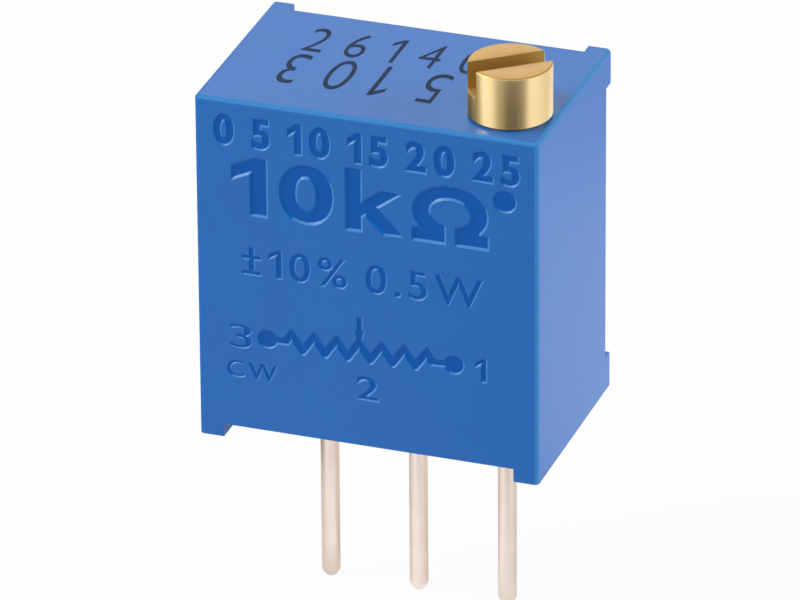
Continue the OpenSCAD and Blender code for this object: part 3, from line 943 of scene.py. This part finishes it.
    def build(self) -> None:
        """Builds the case."""
        low, high = mm_box("housing")
        front = low[1]
        shell = Mesher.copied("housing")
        self.paint_edge_highlights(shell, low, high)
        shell.break_edges(self.outer_edges(shell, low, high), self.edge_break)
        bmesh.ops.recalc_face_normals(shell.solid, faces=shell.solid.faces)
        outline = shell.open_at(lambda f: max(v.co.y for v in f.verts) < front + PLANE_MM)
        rims = []
        for floors, draft in self.marks():
            bottom = front + self.steepness * draft
            flat, faces = fill(floors)
            # The marks' floors take the darker plastic, painted shade for the sunk marks.
            shell.add(laid(flat, bottom, 1), faces, Skin.FLOOR)
            for floor in floors:
                rims.append(grown(floor, draft))
                wall = np.stack([laid(floor, bottom, 1), laid(rims[-1], front, 1)])
                # Every wall starts with the painted highlight; the walls that face away from the
                # key light are repainted below.
                shell.add_grid(wall[:, ::-1], Skin.LIT_WALL)
        flat, faces = fill(outline, rims)
        shell.add(laid(flat, front, 1), faces)
        shell.weld()
        # The walls in shade take a paler copy of the floors' plastic, as painted light.
        self.lift_shaded_walls(shell)
        skins = [CASE_PLASTIC, RECESS_SHADE_PLASTIC, HIGHLIGHT_WALL_PLASTIC, EDGE_HIGHLIGHT_PLASTIC, SHADE_LIFTED_WALL]
        case = shell.piece("moulded_case", skins)
        # The turned head mirrors the studio's bands down to its foot, and not the case below it.
        case.visible_glossy = False
        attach(case, "case")
        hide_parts("housing")

    def outer_edges(self, shell: Mesher, low: Array, high: Array) -> list[Edge]:
        """Lists the sharp edges on the outside of the case, which the mould leaves slightly round.

        Args:
            shell: The case.
            low: Its lowest corner.
            high: Its highest corner.

        Returns:
            The edges that lie on the outside, away from the round bores.
        """
        top, near = high[2] - SIDE_MM, self.outer_band
        chosen = []
        for edge in shell.sharp_edges(angle=60):
            x, y, z = ends = np.array([tuple(v.co) for v in edge.verts]).T
            outside = (np.abs(x) > high[0] - SIDE_MM) | (y > high[1] - self.standoff_h)
            outside |= (z < low[2] + self.rail_h) | (z > top)
            middle = ends.mean(1)
            close = abs(middle[0]) > high[0] - near or middle[2] < low[2] + near or middle[2] > top
            if outside.all() and close and edge.calc_length() > self.least_edge:
                chosen.append(edge)
        return chosen

    def lift_shaded_walls(self, shell: Mesher) -> None:
        """Paints the walls that face right or down, which lie in shade, with a paler copy of the
        floors' plastic: painted light.

        Args:
            shell: The case, with its walls in the painted highlight.
        """
        shell.solid.normal_update()
        away = Vector((1.0, 0.0, -1.0)).normalized()
        for face in shell.solid.faces:
            if face.material_index == Skin.LIT_WALL and face.normal.dot(away) > self.wall_lean:
                face.material_index = Skin.SHADED_WALL

    def paint_edge_highlights(self, shell: Mesher, low: Array, high: Array) -> None:
        """Paints the case's rounded edges, but for the left one, paler: a painted highlight.

        Such a face is slanted and lies near two of the outer sides.

        Args:
            shell: The case.
            low: Its lowest corner.
            high: Its highest corner.
        """
        band = self.highlight_band
        for face in shell.solid.faces:
            middle, slant = face.calc_center_median(), sorted(abs(n) for n in face.normal)
            gaps = (high[0] - abs(middle.x), middle.y - low[1], high[2] - middle.z)
            on_edge = sorted(gaps)[1] < band and middle.x > low[0] + band
            if slant[1] > self.highlight_slant and on_edge:
                face.material_index = Skin.EDGE_HIGHLIGHT


@dataclass
class StampedCodes:
    """Plain digits stamped in ink on the top of the case, in two rows read from opposite sides."""

    lift: float = 0.0005
    thickness: float = 0.004
    writings: tuple[Writing, ...] = (
        Writing("26140", -3.05, 1.85, -0.63, 0.83, -0.015, gap=0.4),
        Writing("5 103", -3.1, 1.4, -2.65, -0.83, -0.022, gap=0.4, space=0.1, upside_down=True),
    )

    def build(self) -> None:
        """Builds the ink as thin closed flakes with flat tops."""
        low = mm_box("housing")[1][2] + self.lift
        high = low + self.thickness
        loops = [loop for writing in self.writings for loop in writing.outlines()]
        flat, faces = fill(loops)
        ink = Mesher()
        ink.add(laid(flat, high, 2), faces)
        ink.add(laid(flat, low, 2), faces[:, ::-1])
        for loop in loops:
            ink.add_grid(np.stack([laid(loop, low, 2), laid(loop, high, 2)]))
        ink.weld()
        made = ink.piece("stamped_codes", [MARKING_INK])
        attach(made, "case")


@dataclass
class CastPotting:
    """The epoxy that seals the back: a copy of its solid with a wetted, slightly sunk face."""

    grid_step: float = 0.14
    least_gap: float = 0.4
    climb: float = 0.06
    climb_reach: float = 0.22
    sag: float = 0.09
    sag_reach: float = 1.6
    back_zone: float = 0.15

    def build(self) -> None:
        """Builds the potting.

        The face's depth follows the distance d to the nearest wall: it falls from the climb at the
        wall by exp(-d / climb_reach), and by the sag as 1 - exp(-d / sag_reach).
        """
        back = mm_box("potting")[1][1]
        floor = back - self.back_zone
        cast = Mesher.copied("potting")
        outline = cast.open_at(lambda f: f.normal.y > 0.5 and min(v.co.y for v in f.verts) > floor)
        everything = np.vstack(outline)
        spans = zip(everything.min(0) + self.grid_step, everything.max(0))
        x, z = (np.arange(low, high, self.grid_step) for low, high in spans)
        inner = np.stack(np.meshgrid(x, z), -1).reshape(-1, 2)
        clear = self.to_wall(inner, outline) > self.least_gap * self.grid_step
        inner = inner[(winding(inner, outline) != 0) & clear]
        flat, faces = fill(outline, extra=inner)
        d = self.to_wall(flat, outline)
        climb = self.climb * np.exp(-d / self.climb_reach)
        y = back + climb - self.sag * (1 - np.exp(-d / self.sag_reach))
        for vert in cast.solid.verts:
            if vert.co.y > back - PLANE_MM:
                vert.co.y = back + self.climb
        cast.add(laid(flat, y, 1), faces[:, ::-1])
        cast.weld(PLANE_MM)
        made = cast.piece("cast_potting", [POTTING_EPOXY], smooth=50)
        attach(made, "case")
        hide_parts("potting")

    @staticmethod
    def to_wall(points: Array, loops: Loops) -> Array:
        """Measures how far points lie from the nearest edge of some loops.

        The nearest point of an edge is its start plus the share of it up to the point's foot.

        Args:
            points: Flat points.
            loops: Closed outlines.

        Returns:
            One distance per point.
        """
        start = np.vstack(loops)
        along = np.vstack([np.roll(loop, -1, 0) for loop in loops]) - start
        length2 = np.maximum((along**2).sum(1), 1e-12)
        gap = points[:, None, :] - start
        share = np.clip((gap * along).sum(2) / length2, 0, 1)
        return np.linalg.norm(gap - share[..., None] * along, axis=2).min(1)


# ---- Metal parts ----


def around(axis: Sequence[float], radius: Array, angle: Array, height: Any) -> Array:
    """Gives points round an axis along Z: the radius times cosine and sine, and the height.

    Args:
        axis: The axis's x and y.
        radius: Distances from it.
        angle: Angles in radians.
        height: Heights.

    Returns:
        The points, in the shape that the three have together.
    """
    x, y = axis[0] + radius * np.cos(angle), axis[1] + radius * np.sin(angle)
    return np.stack(np.broadcast_arrays(x, y, height), -1)


@dataclass
class AdjustingScrew:
    """The turned brass screw: slotted head, sealed shank and worm."""

    segments: int = 96
    head_r: float = 1.12
    head_h: float = 1.46
    head_round: float = 0.05
    slot_w: float = 0.64
    slot_depth: float = 0.76
    slot_angle: float = 38.0
    land_r: float = 0.9
    groove_r: float = 0.5
    land_h: float = 0.45
    groove_w: float = 0.5
    lower_land_h: float = 0.6
    neck_h: float = 0.29
    collar_h: float = 0.25
    journal_r: float = 0.45
    journal_h: float = 1.15
    core_r: float = 0.4815
    thread_tip_r: float = 0.871
    thread_root_r: float = 0.42
    thread_lead: float = 0.5969
    thread_len: float = 3.6
    thread_mid: float = 5.08
    thread_half_root: float = 0.234
    thread_half_tip: float = 0.0695
    thread_fade: float = 0.7
    thread_least: float = 0.04
    thread_steps: int = 32
    edge_break: float = 0.015

    def profile(self, bottom: float, top: float, case_top: float) -> Array:
        """Lists the screw's half section, from the journal's tip to the top of the head.

        Args:
            bottom: Height of the journal's tip.
            top: Height of the head's top.
            case_top: Height of the top of the case, where the upper land starts.

        Returns:
            Rows of radius and height.
        """
        groove_top = case_top - self.land_h
        groove_low = groove_top - self.groove_w
        neck_top = groove_low - self.lower_land_h
        collar_top = neck_top - self.neck_h
        collar_low = collar_top - self.collar_h
        head_low = top - self.head_h
        shoulder = bottom + self.journal_h
        r, head, small = self.head_round, self.head_r, self.edge_break
        journal, core, land, groove = self.journal_r, self.core_r, self.land_r, self.groove_r
        return np.array(
            [(0, bottom), (journal - r, bottom), (journal, bottom + r), (journal, shoulder)]
            + [(core, shoulder + r), (core, collar_low), (land, collar_low), (land, collar_top)]
            + [(groove, collar_top), (groove, neck_top), (land, neck_top), (land, groove_low)]
            + [(groove, groove_low), (groove, groove_top), (land, groove_top), (land, head_low)]
            + [(head - small, head_low), (head, head_low + small)]
            + [*arc((head - r, top - r), r, 0, 90, 5), (0, top)]
        )

    def thread(self, axis: Sequence[float]) -> Array:
        """Sweeps the worm's trapezium along its helix.

        At the angle a the section stands at the height of the lead times a turn's share, and its
        crest rises from the root and falls back to it over the fade at both ends.

        Args:
            axis: The screw's x and y.

        Returns:
            A grid of points, rows along the helix and four columns round the section.
        """
        turns = self.thread_len / self.thread_lead
        share = np.linspace(-0.5, 0.5, round(turns * self.thread_steps) + 1)
        angle = np.pi + 2 * np.pi * turns * share
        height = self.thread_mid + self.thread_len * share
        rise = np.clip((0.5 - np.abs(share)) * turns / self.thread_fade, self.thread_least, 1)
        crest = self.core_r + (self.thread_tip_r - self.core_r) * rise
        root, half_root = self.thread_root_r, self.thread_half_root
        slope = (half_root - self.thread_half_tip) / (self.thread_tip_r - root)
        half_crest = half_root - slope * (crest - root)
        root, half_root = np.full_like(crest, root), np.full_like(crest, half_root)
        radius = np.stack([root, crest, crest, root], 1)
        drop = np.stack([-half_root, -half_crest, half_crest, half_root], 1)
        return around(axis, radius, angle[:, None], height[:, None] + drop)

    def build(self) -> None:
        """Builds the screw."""
        low, high = mm_box("adjusting_screw")
        axis, top = (low + high)[:2] / 2, high[2]
        section = self.profile(low[2], top, mm_box("housing")[1][2])
        angle = np.linspace(0, 2 * np.pi, self.segments, endpoint=False)
        core = Mesher()
        core.add_grid(around(axis, section[:, :1], angle, section[:, 1:]))
        core.weld()
        worm = Mesher()
        grid = self.thread(axis)
        worm.add_grid(grid)
        for end in (grid[0], grid[-1][::-1]):
            worm.add(end, np.array([[3, 2, 1, 0]]))
        worm.weld()
        slot = Mesher()
        slot.add(*self.slot_block(axis, top))
        turned = core.cut(worm, "UNION").cut(slot, "DIFFERENCE")
        turned.weld()
        floor = top - self.slot_depth - SIDE_MM
        rims = [e for e in turned.sharp_edges(angle=50) if min(v.co.z for v in e.verts) > floor]
        turned.break_edges(rims, self.edge_break)
        self.mark_faces(turned, Vector((*axis, top)))
        made = turned.piece("adjusting_screw_turned", [TURNED_BRASS, SHADED_FACED_BRASS, SHADED_SAWN_BRASS], 40)
        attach(made, "screw")
        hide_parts("adjusting_screw")

    def mark_faces(self, turned: Mesher, crown: Vector) -> None:
        """Sets the head's top faces and the slot's faces to brass copies darkened with painted
        shade.

        Args:
            turned: The screw.
            crown: The middle of the head's top.
        """
        shaded_top, shaded_slot = 1, 2
        upwards, level, square = 0.2, 0.99, 0.999
        across = Vector(self.slot_ways()[1])
        rounding, floor = crown.z - self.head_round, crown.z - self.slot_depth - SIDE_MM
        turned.solid.normal_update()
        for face in turned.solid.faces:
            middle, normal = face.calc_center_bounds(), face.normal
            if normal.z > upwards and middle.z > rounding:
                face.material_index = shaded_top
            elif floor < middle.z < rounding:
                inside = abs((middle - crown).dot(across)) < self.slot_w
                if inside and abs(normal.dot(across)) > square or normal.z > level:
                    face.material_index = shaded_slot

    def slot_ways(self) -> tuple[Array, Array]:
        """Gives the directions along and across the slot."""
        x, y = arc((0, 0), 1, self.slot_angle, self.slot_angle, 1)[0]
        return np.array([x, y, 0]), np.array([-y, x, 0])

    def slot_block(self, axis: Array, top: float) -> tuple[Array, Array]:
        """Gives the block that the slitting saw takes out.

        Args:
            axis: The screw's x and y.
            top: Height of the head's top.

        Returns:
            The block's corners and faces.
        """
        reach, half = 2 * self.head_r, self.slot_w / 2
        along, across = self.slot_ways()
        corners = [
            [*axis, z] + u * reach * along + v * half * across
            for z in (top - self.slot_depth, top + 1)
            for v, u in ((-1, -1), (-1, 1), (1, 1), (1, -1))
        ]
        faces = [[3, 2, 1, 0], [4, 5, 6, 7], [0, 1, 5, 4], [1, 2, 6, 5], [2, 3, 7, 6], [3, 0, 4, 7]]
        return np.array(corners), np.array(faces)


@dataclass
class Pin:
    """A round tinned wire: up from the board, over a bend and forward through the element."""

    number: int
    columns: int = 32
    wire_r: float = 0.255
    bend_r: float = 0.3
    bend_steps: int = 10
    tip: tuple[tuple[float, ...], ...] = (
        (0.115, 0.136, 0.152, 0.236, 0.25, 0.255),
        (0.0, 0.006, 0.02, 0.14, 0.172, 0.21),
    )
    flat_low: float = 0.46
    flat_len: float = 0.6
    flat_half: tuple[float, float] = (0.31, 0.17)
    flat_corner: float = 5.0
    flat_blend: float = 0.06
    shank_steps: int = 8

    def build(self) -> None:
        """Builds the pin.

        Rings stand square to a path that runs up, turns forward on a quarter circle and runs on.
        They follow a soft cone at the cropped tip, and a superellipse where the wire is coined.
        """
        node = f"pin_{self.number}"
        low, high = mm_box(node)
        middle = (low[0] + high[0]) / 2
        bend, top = self.bend_r, high[2] - self.wire_r
        tip_r, tip_z = np.array(self.tip) + [[0], [low[2]]]
        a, b, f = self.flat_low, self.flat_low + self.flat_len, self.flat_blend
        flats = np.array([a - f, a, b, b + f])
        shank = np.linspace(tip_z[-1], a - 2 * f, self.shank_steps)[1:]
        up = np.concatenate([tip_z, shank, flats, [top - bend]])
        turn = np.linspace(0, np.pi / 2, self.bend_steps + 1)[1:]
        upright = np.zeros(len(up))
        path_y = np.concatenate([upright, -bend * (1 - np.cos(turn)), [low[1]]])[:, None]
        path_z = np.concatenate([up, top - bend + bend * np.sin(turn), [top]])[:, None]
        lean = np.concatenate([upright, turn, [np.pi / 2]])[:, None]
        radius = np.full((len(lean), 1, 1), self.wire_r)
        radius[: len(tip_r), 0, 0] = tip_r
        coined = np.isin(path_z, flats[1:3])[..., None]
        angle = np.linspace(0, 2 * np.pi, self.columns, endpoint=False)
        circle = np.stack([np.cos(angle), np.sin(angle)], 1)
        squared = np.sign(circle) * np.abs(circle) ** (2 / self.flat_corner) * self.flat_half
        across, out = np.moveaxis(np.where(coined, squared, radius * circle), -1, 0)
        y, z = path_y + out * np.cos(lean), path_z + out * np.sin(lean)
        grid = np.stack([middle + across, y, z], -1)
        ends = [(middle, 0, low[2]), (middle, low[1], top)]
        tip, end = (np.broadcast_to(point, (1, self.columns, 3)) for point in ends)
        wire = Mesher()
        wire.add_grid(np.concatenate([tip, grid, end]))
        wire.weld()
        made = wire.piece(f"wire_{node}", [TINNED_WIRE])
        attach(made, "case")
        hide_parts(node)


@dataclass(frozen=True)
class InnerWorks:
    """The pieces inside the case, which keep their solids and get their finishes."""

    finishes: tuple[tuple[Finish, tuple[str, ...]], ...] = (
        (SEAL_RUBBER, ("o_ring",)),
        (RETAINER_STEEL, ("screw_retainer",)),
        (WHEEL_ACETAL, ("worm_wheel",)),
        (WIPER_ALLOY, ("wiper",)),
        (FIRED_ALUMINA, ("substrate",)),
        (FIRED_CERMET, ("cermet_track",)),
        (FIRED_SILVER, ("end_conductor_1", "end_conductor_3", "collector")),
        (REFLOWED_SOLDER, ("solder_1", "solder_2", "solder_3")),
    )

    def dress(self) -> None:
        """Gives each inner solid its material."""
        for finish, nodes in self.finishes:
            for node in nodes:
                material = finish.material()
                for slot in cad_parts[node].material_slots:
                    slot.material = material
                log.info("%s: %s", node, finish.name)


# ---- Studio ----


def direction(azimuth: float, elevation: float) -> Vector:
    """Gives the direction towards a viewer at an azimuth from -Y towards +X and an elevation."""
    a, e = math.radians(azimuth), math.radians(elevation)
    return Vector((math.sin(a) * math.cos(e), -math.cos(a) * math.cos(e), math.sin(e)))


def sheet(name: str, points: Any, faces: list[Any], matter: Material) -> Object:
    """Lays a flat piece of the studio.

    Args:
        name: The piece's name.
        points: Its corners in millimetres.
        faces: The corners' numbers, face by face.
        matter: Its material.

    Returns:
        The piece.
    """
    mesh = bpy.data.meshes.new(name)
    mesh.from_pydata((np.array(points) * MM).tolist(), [], faces)
    mesh.materials.append(matter)
    return linked(name, mesh)


@dataclass(frozen=True)
class Softbox:
    """A square lamp that looks at the part from some way off, sizes in millimetres."""

    name: str
    azimuth: float
    elevation: float
    distance: float
    size: float
    watts: float
    in_gloss: bool = True

    def build(self, aim: Vector) -> None:
        """Sets the lamp up.

        Args:
            aim: The point that it looks at, in metres.
        """
        lamp = bpy.data.lights.new(self.name, "AREA")
        lamp.shape, lamp.size, lamp.energy = "SQUARE", self.size * MM, self.watts
        made = linked(self.name, lamp)
        back = direction(self.azimuth, self.elevation)
        made.location = aim + back * self.distance * MM
        made.rotation_euler = (-back).to_track_quat("-Z", "Y").to_euler()
        made.visible_glossy = self.in_gloss


@dataclass(frozen=True)
class ShadedCard:
    """A ring on the floor, seen in gloss alone, that puts soft light and dark bands on round metal.

    Its tones are pairs of a direction from the middle of a node, in degrees from a first azimuth
    that runs from -Y towards +X, and a level. A dark tone is warmer than a light one: each channel
    is the level times the level to the power of its warmth.
    """

    name: str
    node: str
    first: float
    radii: tuple[float, float]
    tones: tuple[tuple[float, float], ...]
    lift: float = 0.02
    strength: float = 1.6
    warmth: tuple[float, float, float] = (0.0, 0.06, 0.3)
    columns: int = 96

    def build(self) -> None:
        """Lays the card just above the floor."""
        low, high = mm_box(self.node)
        axis = np.zeros(2) if self.node.startswith("pin") else ((low + high) / 2)[:2]
        angle = np.linspace(0, 2 * math.pi, self.columns, endpoint=False)
        height = mm_box("pin_2")[0][2] + self.lift
        rings = around(axis, np.array(self.radii)[:, None], angle, height).reshape(-1, 3)
        inner = np.arange(self.columns)
        following = np.roll(inner, -1)
        faces = np.stack([inner, inner + self.columns, following + self.columns, following], 1)
        made = sheet(self.name, rings, faces.tolist(), self.material(axis))
        made.visible_camera = made.visible_diffuse = made.visible_shadow = False
        made.visible_transmission = False

    def material(self, axis: Array) -> Material:
        """Builds the card's material, whose tone is a ramp over the angle round the axis.

        Args:
            axis: The x and y of the card's middle.

        Returns:
            The material.
        """
        matter = bpy.data.materials.new(self.name)
        tree = bare_tree(matter)
        turn = (0.0, 0.0, math.radians(self.first - 90))
        frame_of = {"Location": (axis[0] * MM, axis[1] * MM, 0.0), "Rotation": turn}
        inputs = {"Vector": object_place(tree), **frame_of}
        turned = add_node(tree, "Mapping", inputs, vector_type="TEXTURE")
        share = add_node(tree, "TexGradient", {"Vector": turned}, gradient_type="RADIAL")
        tone = add_node(tree, "ValToRGB", {"Fac": share.outputs["Fac"]})
        ramp = tone.color_ramp
        ramp.interpolation = "EASE"
        while len(ramp.elements) < len(self.tones):
            ramp.elements.new(0.5)
        for place, (side, level) in zip(ramp.elements, self.tones):
            place.position = side / 360 + 0.5
            falls = (level / self.strength * min(level, 1.0) ** power for power in self.warmth)
            place.color = (*falls, 1.0)
        glow = add_node(tree, "Emission", {"Color": tone, "Strength": self.strength})
        add_node(tree, "OutputMaterial", {"Surface": glow})
        return matter


# Tones of the bands that the screw's head mirrors, as pairs of a direction and a level.
BANDS = ((-180.0, 0.5), (-138.0, 0.05), (-97.0, 0.25), (-75.0, 0.95), (-57.0, 1.0), (-30.0, 0.33))
BANDS += ((-8.0, 0.04), (10.0, 0.02), (28.0, 0.17), (56.0, 1.05), (75.0, 1.0), (100.0, 0.85))
BANDS += ((120.0, 0.8),)
# Their last stretch: bright close by, for the case's side, and softer beyond, for the head's rim.
CASE_END = ((138.0, 1.6), (165.0, 1.6), (180.0, 0.9))
SCREW_END = ((138.0, 1.0), (165.0, 0.8), (180.0, 0.7))
# Tones that the pins mirror.
WIRE_BANDS = ((-180.0, 1.0), (-158.0, 1.0), (-103.0, 0.88), (-32.0, 0.68))
WIRE_BANDS += ((50.0, 0.6), (101.0, 0.73), (160.0, 1.0))


@dataclass
class Studio:
    """Pale floor, soft lamps and the camera."""

    aim: tuple[float, float, float] = (0.0, -1.404, 3.461)
    azimuth: float = 19.377
    elevation: float = 26.903
    roll: float = -0.424
    distance: float = 243.99
    lens: float = 411.8
    floor_size: float = 3000.0
    floor_colour: str = "F4F4F4"
    floor_glow: float = 0.92
    world_grey: str = "646464"
    cards: tuple[ShadedCard, ...] = (
        ShadedCard("case_card", "adjusting_screw", 20.8, (8.0, 30.0), BANDS + CASE_END),
        ShadedCard("screw_card", "adjusting_screw", 20.8, (30.0, 400.0), BANDS + SCREW_END),
        ShadedCard("pins_card", "pin_2", 166.0, (0.5, 10.0), WIRE_BANDS, lift=0.03),
    )
    lamps: tuple[Softbox, ...] = (
        Softbox("key_softbox", -64.0, 36.0, 400.0, 180.0, 1.4),
        Softbox("edge_softbox", 40.0, 42.0, 400.0, 200.0, 0.45, in_gloss=False),
        Softbox("right_softbox", 104.0, 18.0, 420.0, 240.0, 1.12, in_gloss=False),
        Softbox("back_softbox", -165.0, 30.0, 500.0, 300.0, 0.25),
    )

    def build(self) -> None:
        """Sets up the floor, the lamps, the world and the camera."""
        aim = Vector(self.aim) * MM
        for lamp in self.lamps:
            lamp.build(aim)
        self.floor()
        for card in self.cards:
            card.build()
        self.world()
        self.camera(aim)

    @staticmethod
    def mixed(tree: Tree, share: float, plain: Node, seen: Node) -> Node:
        """Mixes a shader with one that only the camera, a mirror and glass show.

        Args:
            tree: The node tree.
            share: How much of the second they show.
            plain: The first shader, which is all that other rays meet.
            seen: The second shader.

        Returns:
            The mix.
        """
        path = add_node(tree, "LightPath").outputs
        rays = compute(tree, "MAXIMUM", path["Is Camera Ray"], path["Is Glossy Ray"], kind="Math")
        rays = compute(tree, "MAXIMUM", rays, path["Is Transmission Ray"], kind="Math")
        rays = compute(tree, "MULTIPLY", rays, share, kind="Math")
        return add_node(tree, "MixShader", {0: rays, 1: plain, 2: seen})

    def floor(self) -> None:
        """Lays the pale floor under the pins' tips."""
        half = self.floor_size / 2
        z = mm_box("pin_2")[0][2]
        matter = bpy.data.materials.new("studio_paper")
        tree = bare_tree(matter)
        paper = add_node(tree, "BsdfDiffuse", {"Color": linear(self.floor_colour)})
        glow = add_node(tree, "Emission", {"Color": WHITE, "Strength": 1.0})
        mix = self.mixed(tree, self.floor_glow, paper, glow)
        add_node(tree, "OutputMaterial", {"Surface": mix})
        corners = [(-half, -half, z), (half, -half, z), (half, half, z), (-half, half, z)]
        made = sheet("studio_floor", corners, [(0, 1, 2, 3)], matter)

    def world(self) -> None:
        """Makes the surroundings: white where they are seen, and a soft grey as light."""
        world = bpy.data.worlds.new("studio")
        bpy.context.scene.world = world
        tree = bare_tree(world)
        soft, white = (
            add_node(tree, "Background", {"Color": colour, "Strength": 1.0})
            for colour in (linear(self.world_grey), WHITE)
        )
        mix = self.mixed(tree, 1.0, soft, white)
        add_node(tree, "OutputWorld", {"Surface": mix})

    def camera(self, aim: Vector) -> None:
        """Places the camera at its distance from the aim, looking at it, with a slight roll.

        Args:
            aim: The point that it looks at, in metres.
        """
        lens = bpy.data.cameras.new("camera")
        lens.lens, lens.sensor_width = self.lens, 36.0
        lens.clip_start, lens.clip_end = 0.01, 20.0
        made = linked("camera", lens)
        back = direction(self.azimuth, self.elevation)
        roll = Matrix.Rotation(math.radians(self.roll), 3, "Z")
        turn = (-back).to_track_quat("-Z", "Y").to_matrix() @ roll
        place = Matrix.Translation(aim + back * self.distance * MM)
        made.matrix_world = place @ turn.to_4x4()
        scene = bpy.context.scene
        scene.camera = made
        scene.view_settings.view_transform = "Standard"


def main() -> None:
    """Builds the part's pieces in order."""
    logging.basicConfig(level=logging.INFO, format="%(name)s %(message)s")
    Studio().build()
    MouldedCase().build()
    StampedCodes().build()
    CastPotting().build()
    AdjustingScrew().build()
    for number in (1, 2, 3):
        Pin(number).build()
    InnerWorks().dress()
    bpy.context.view_layer.update()


if __name__ == "__main__":
    main()
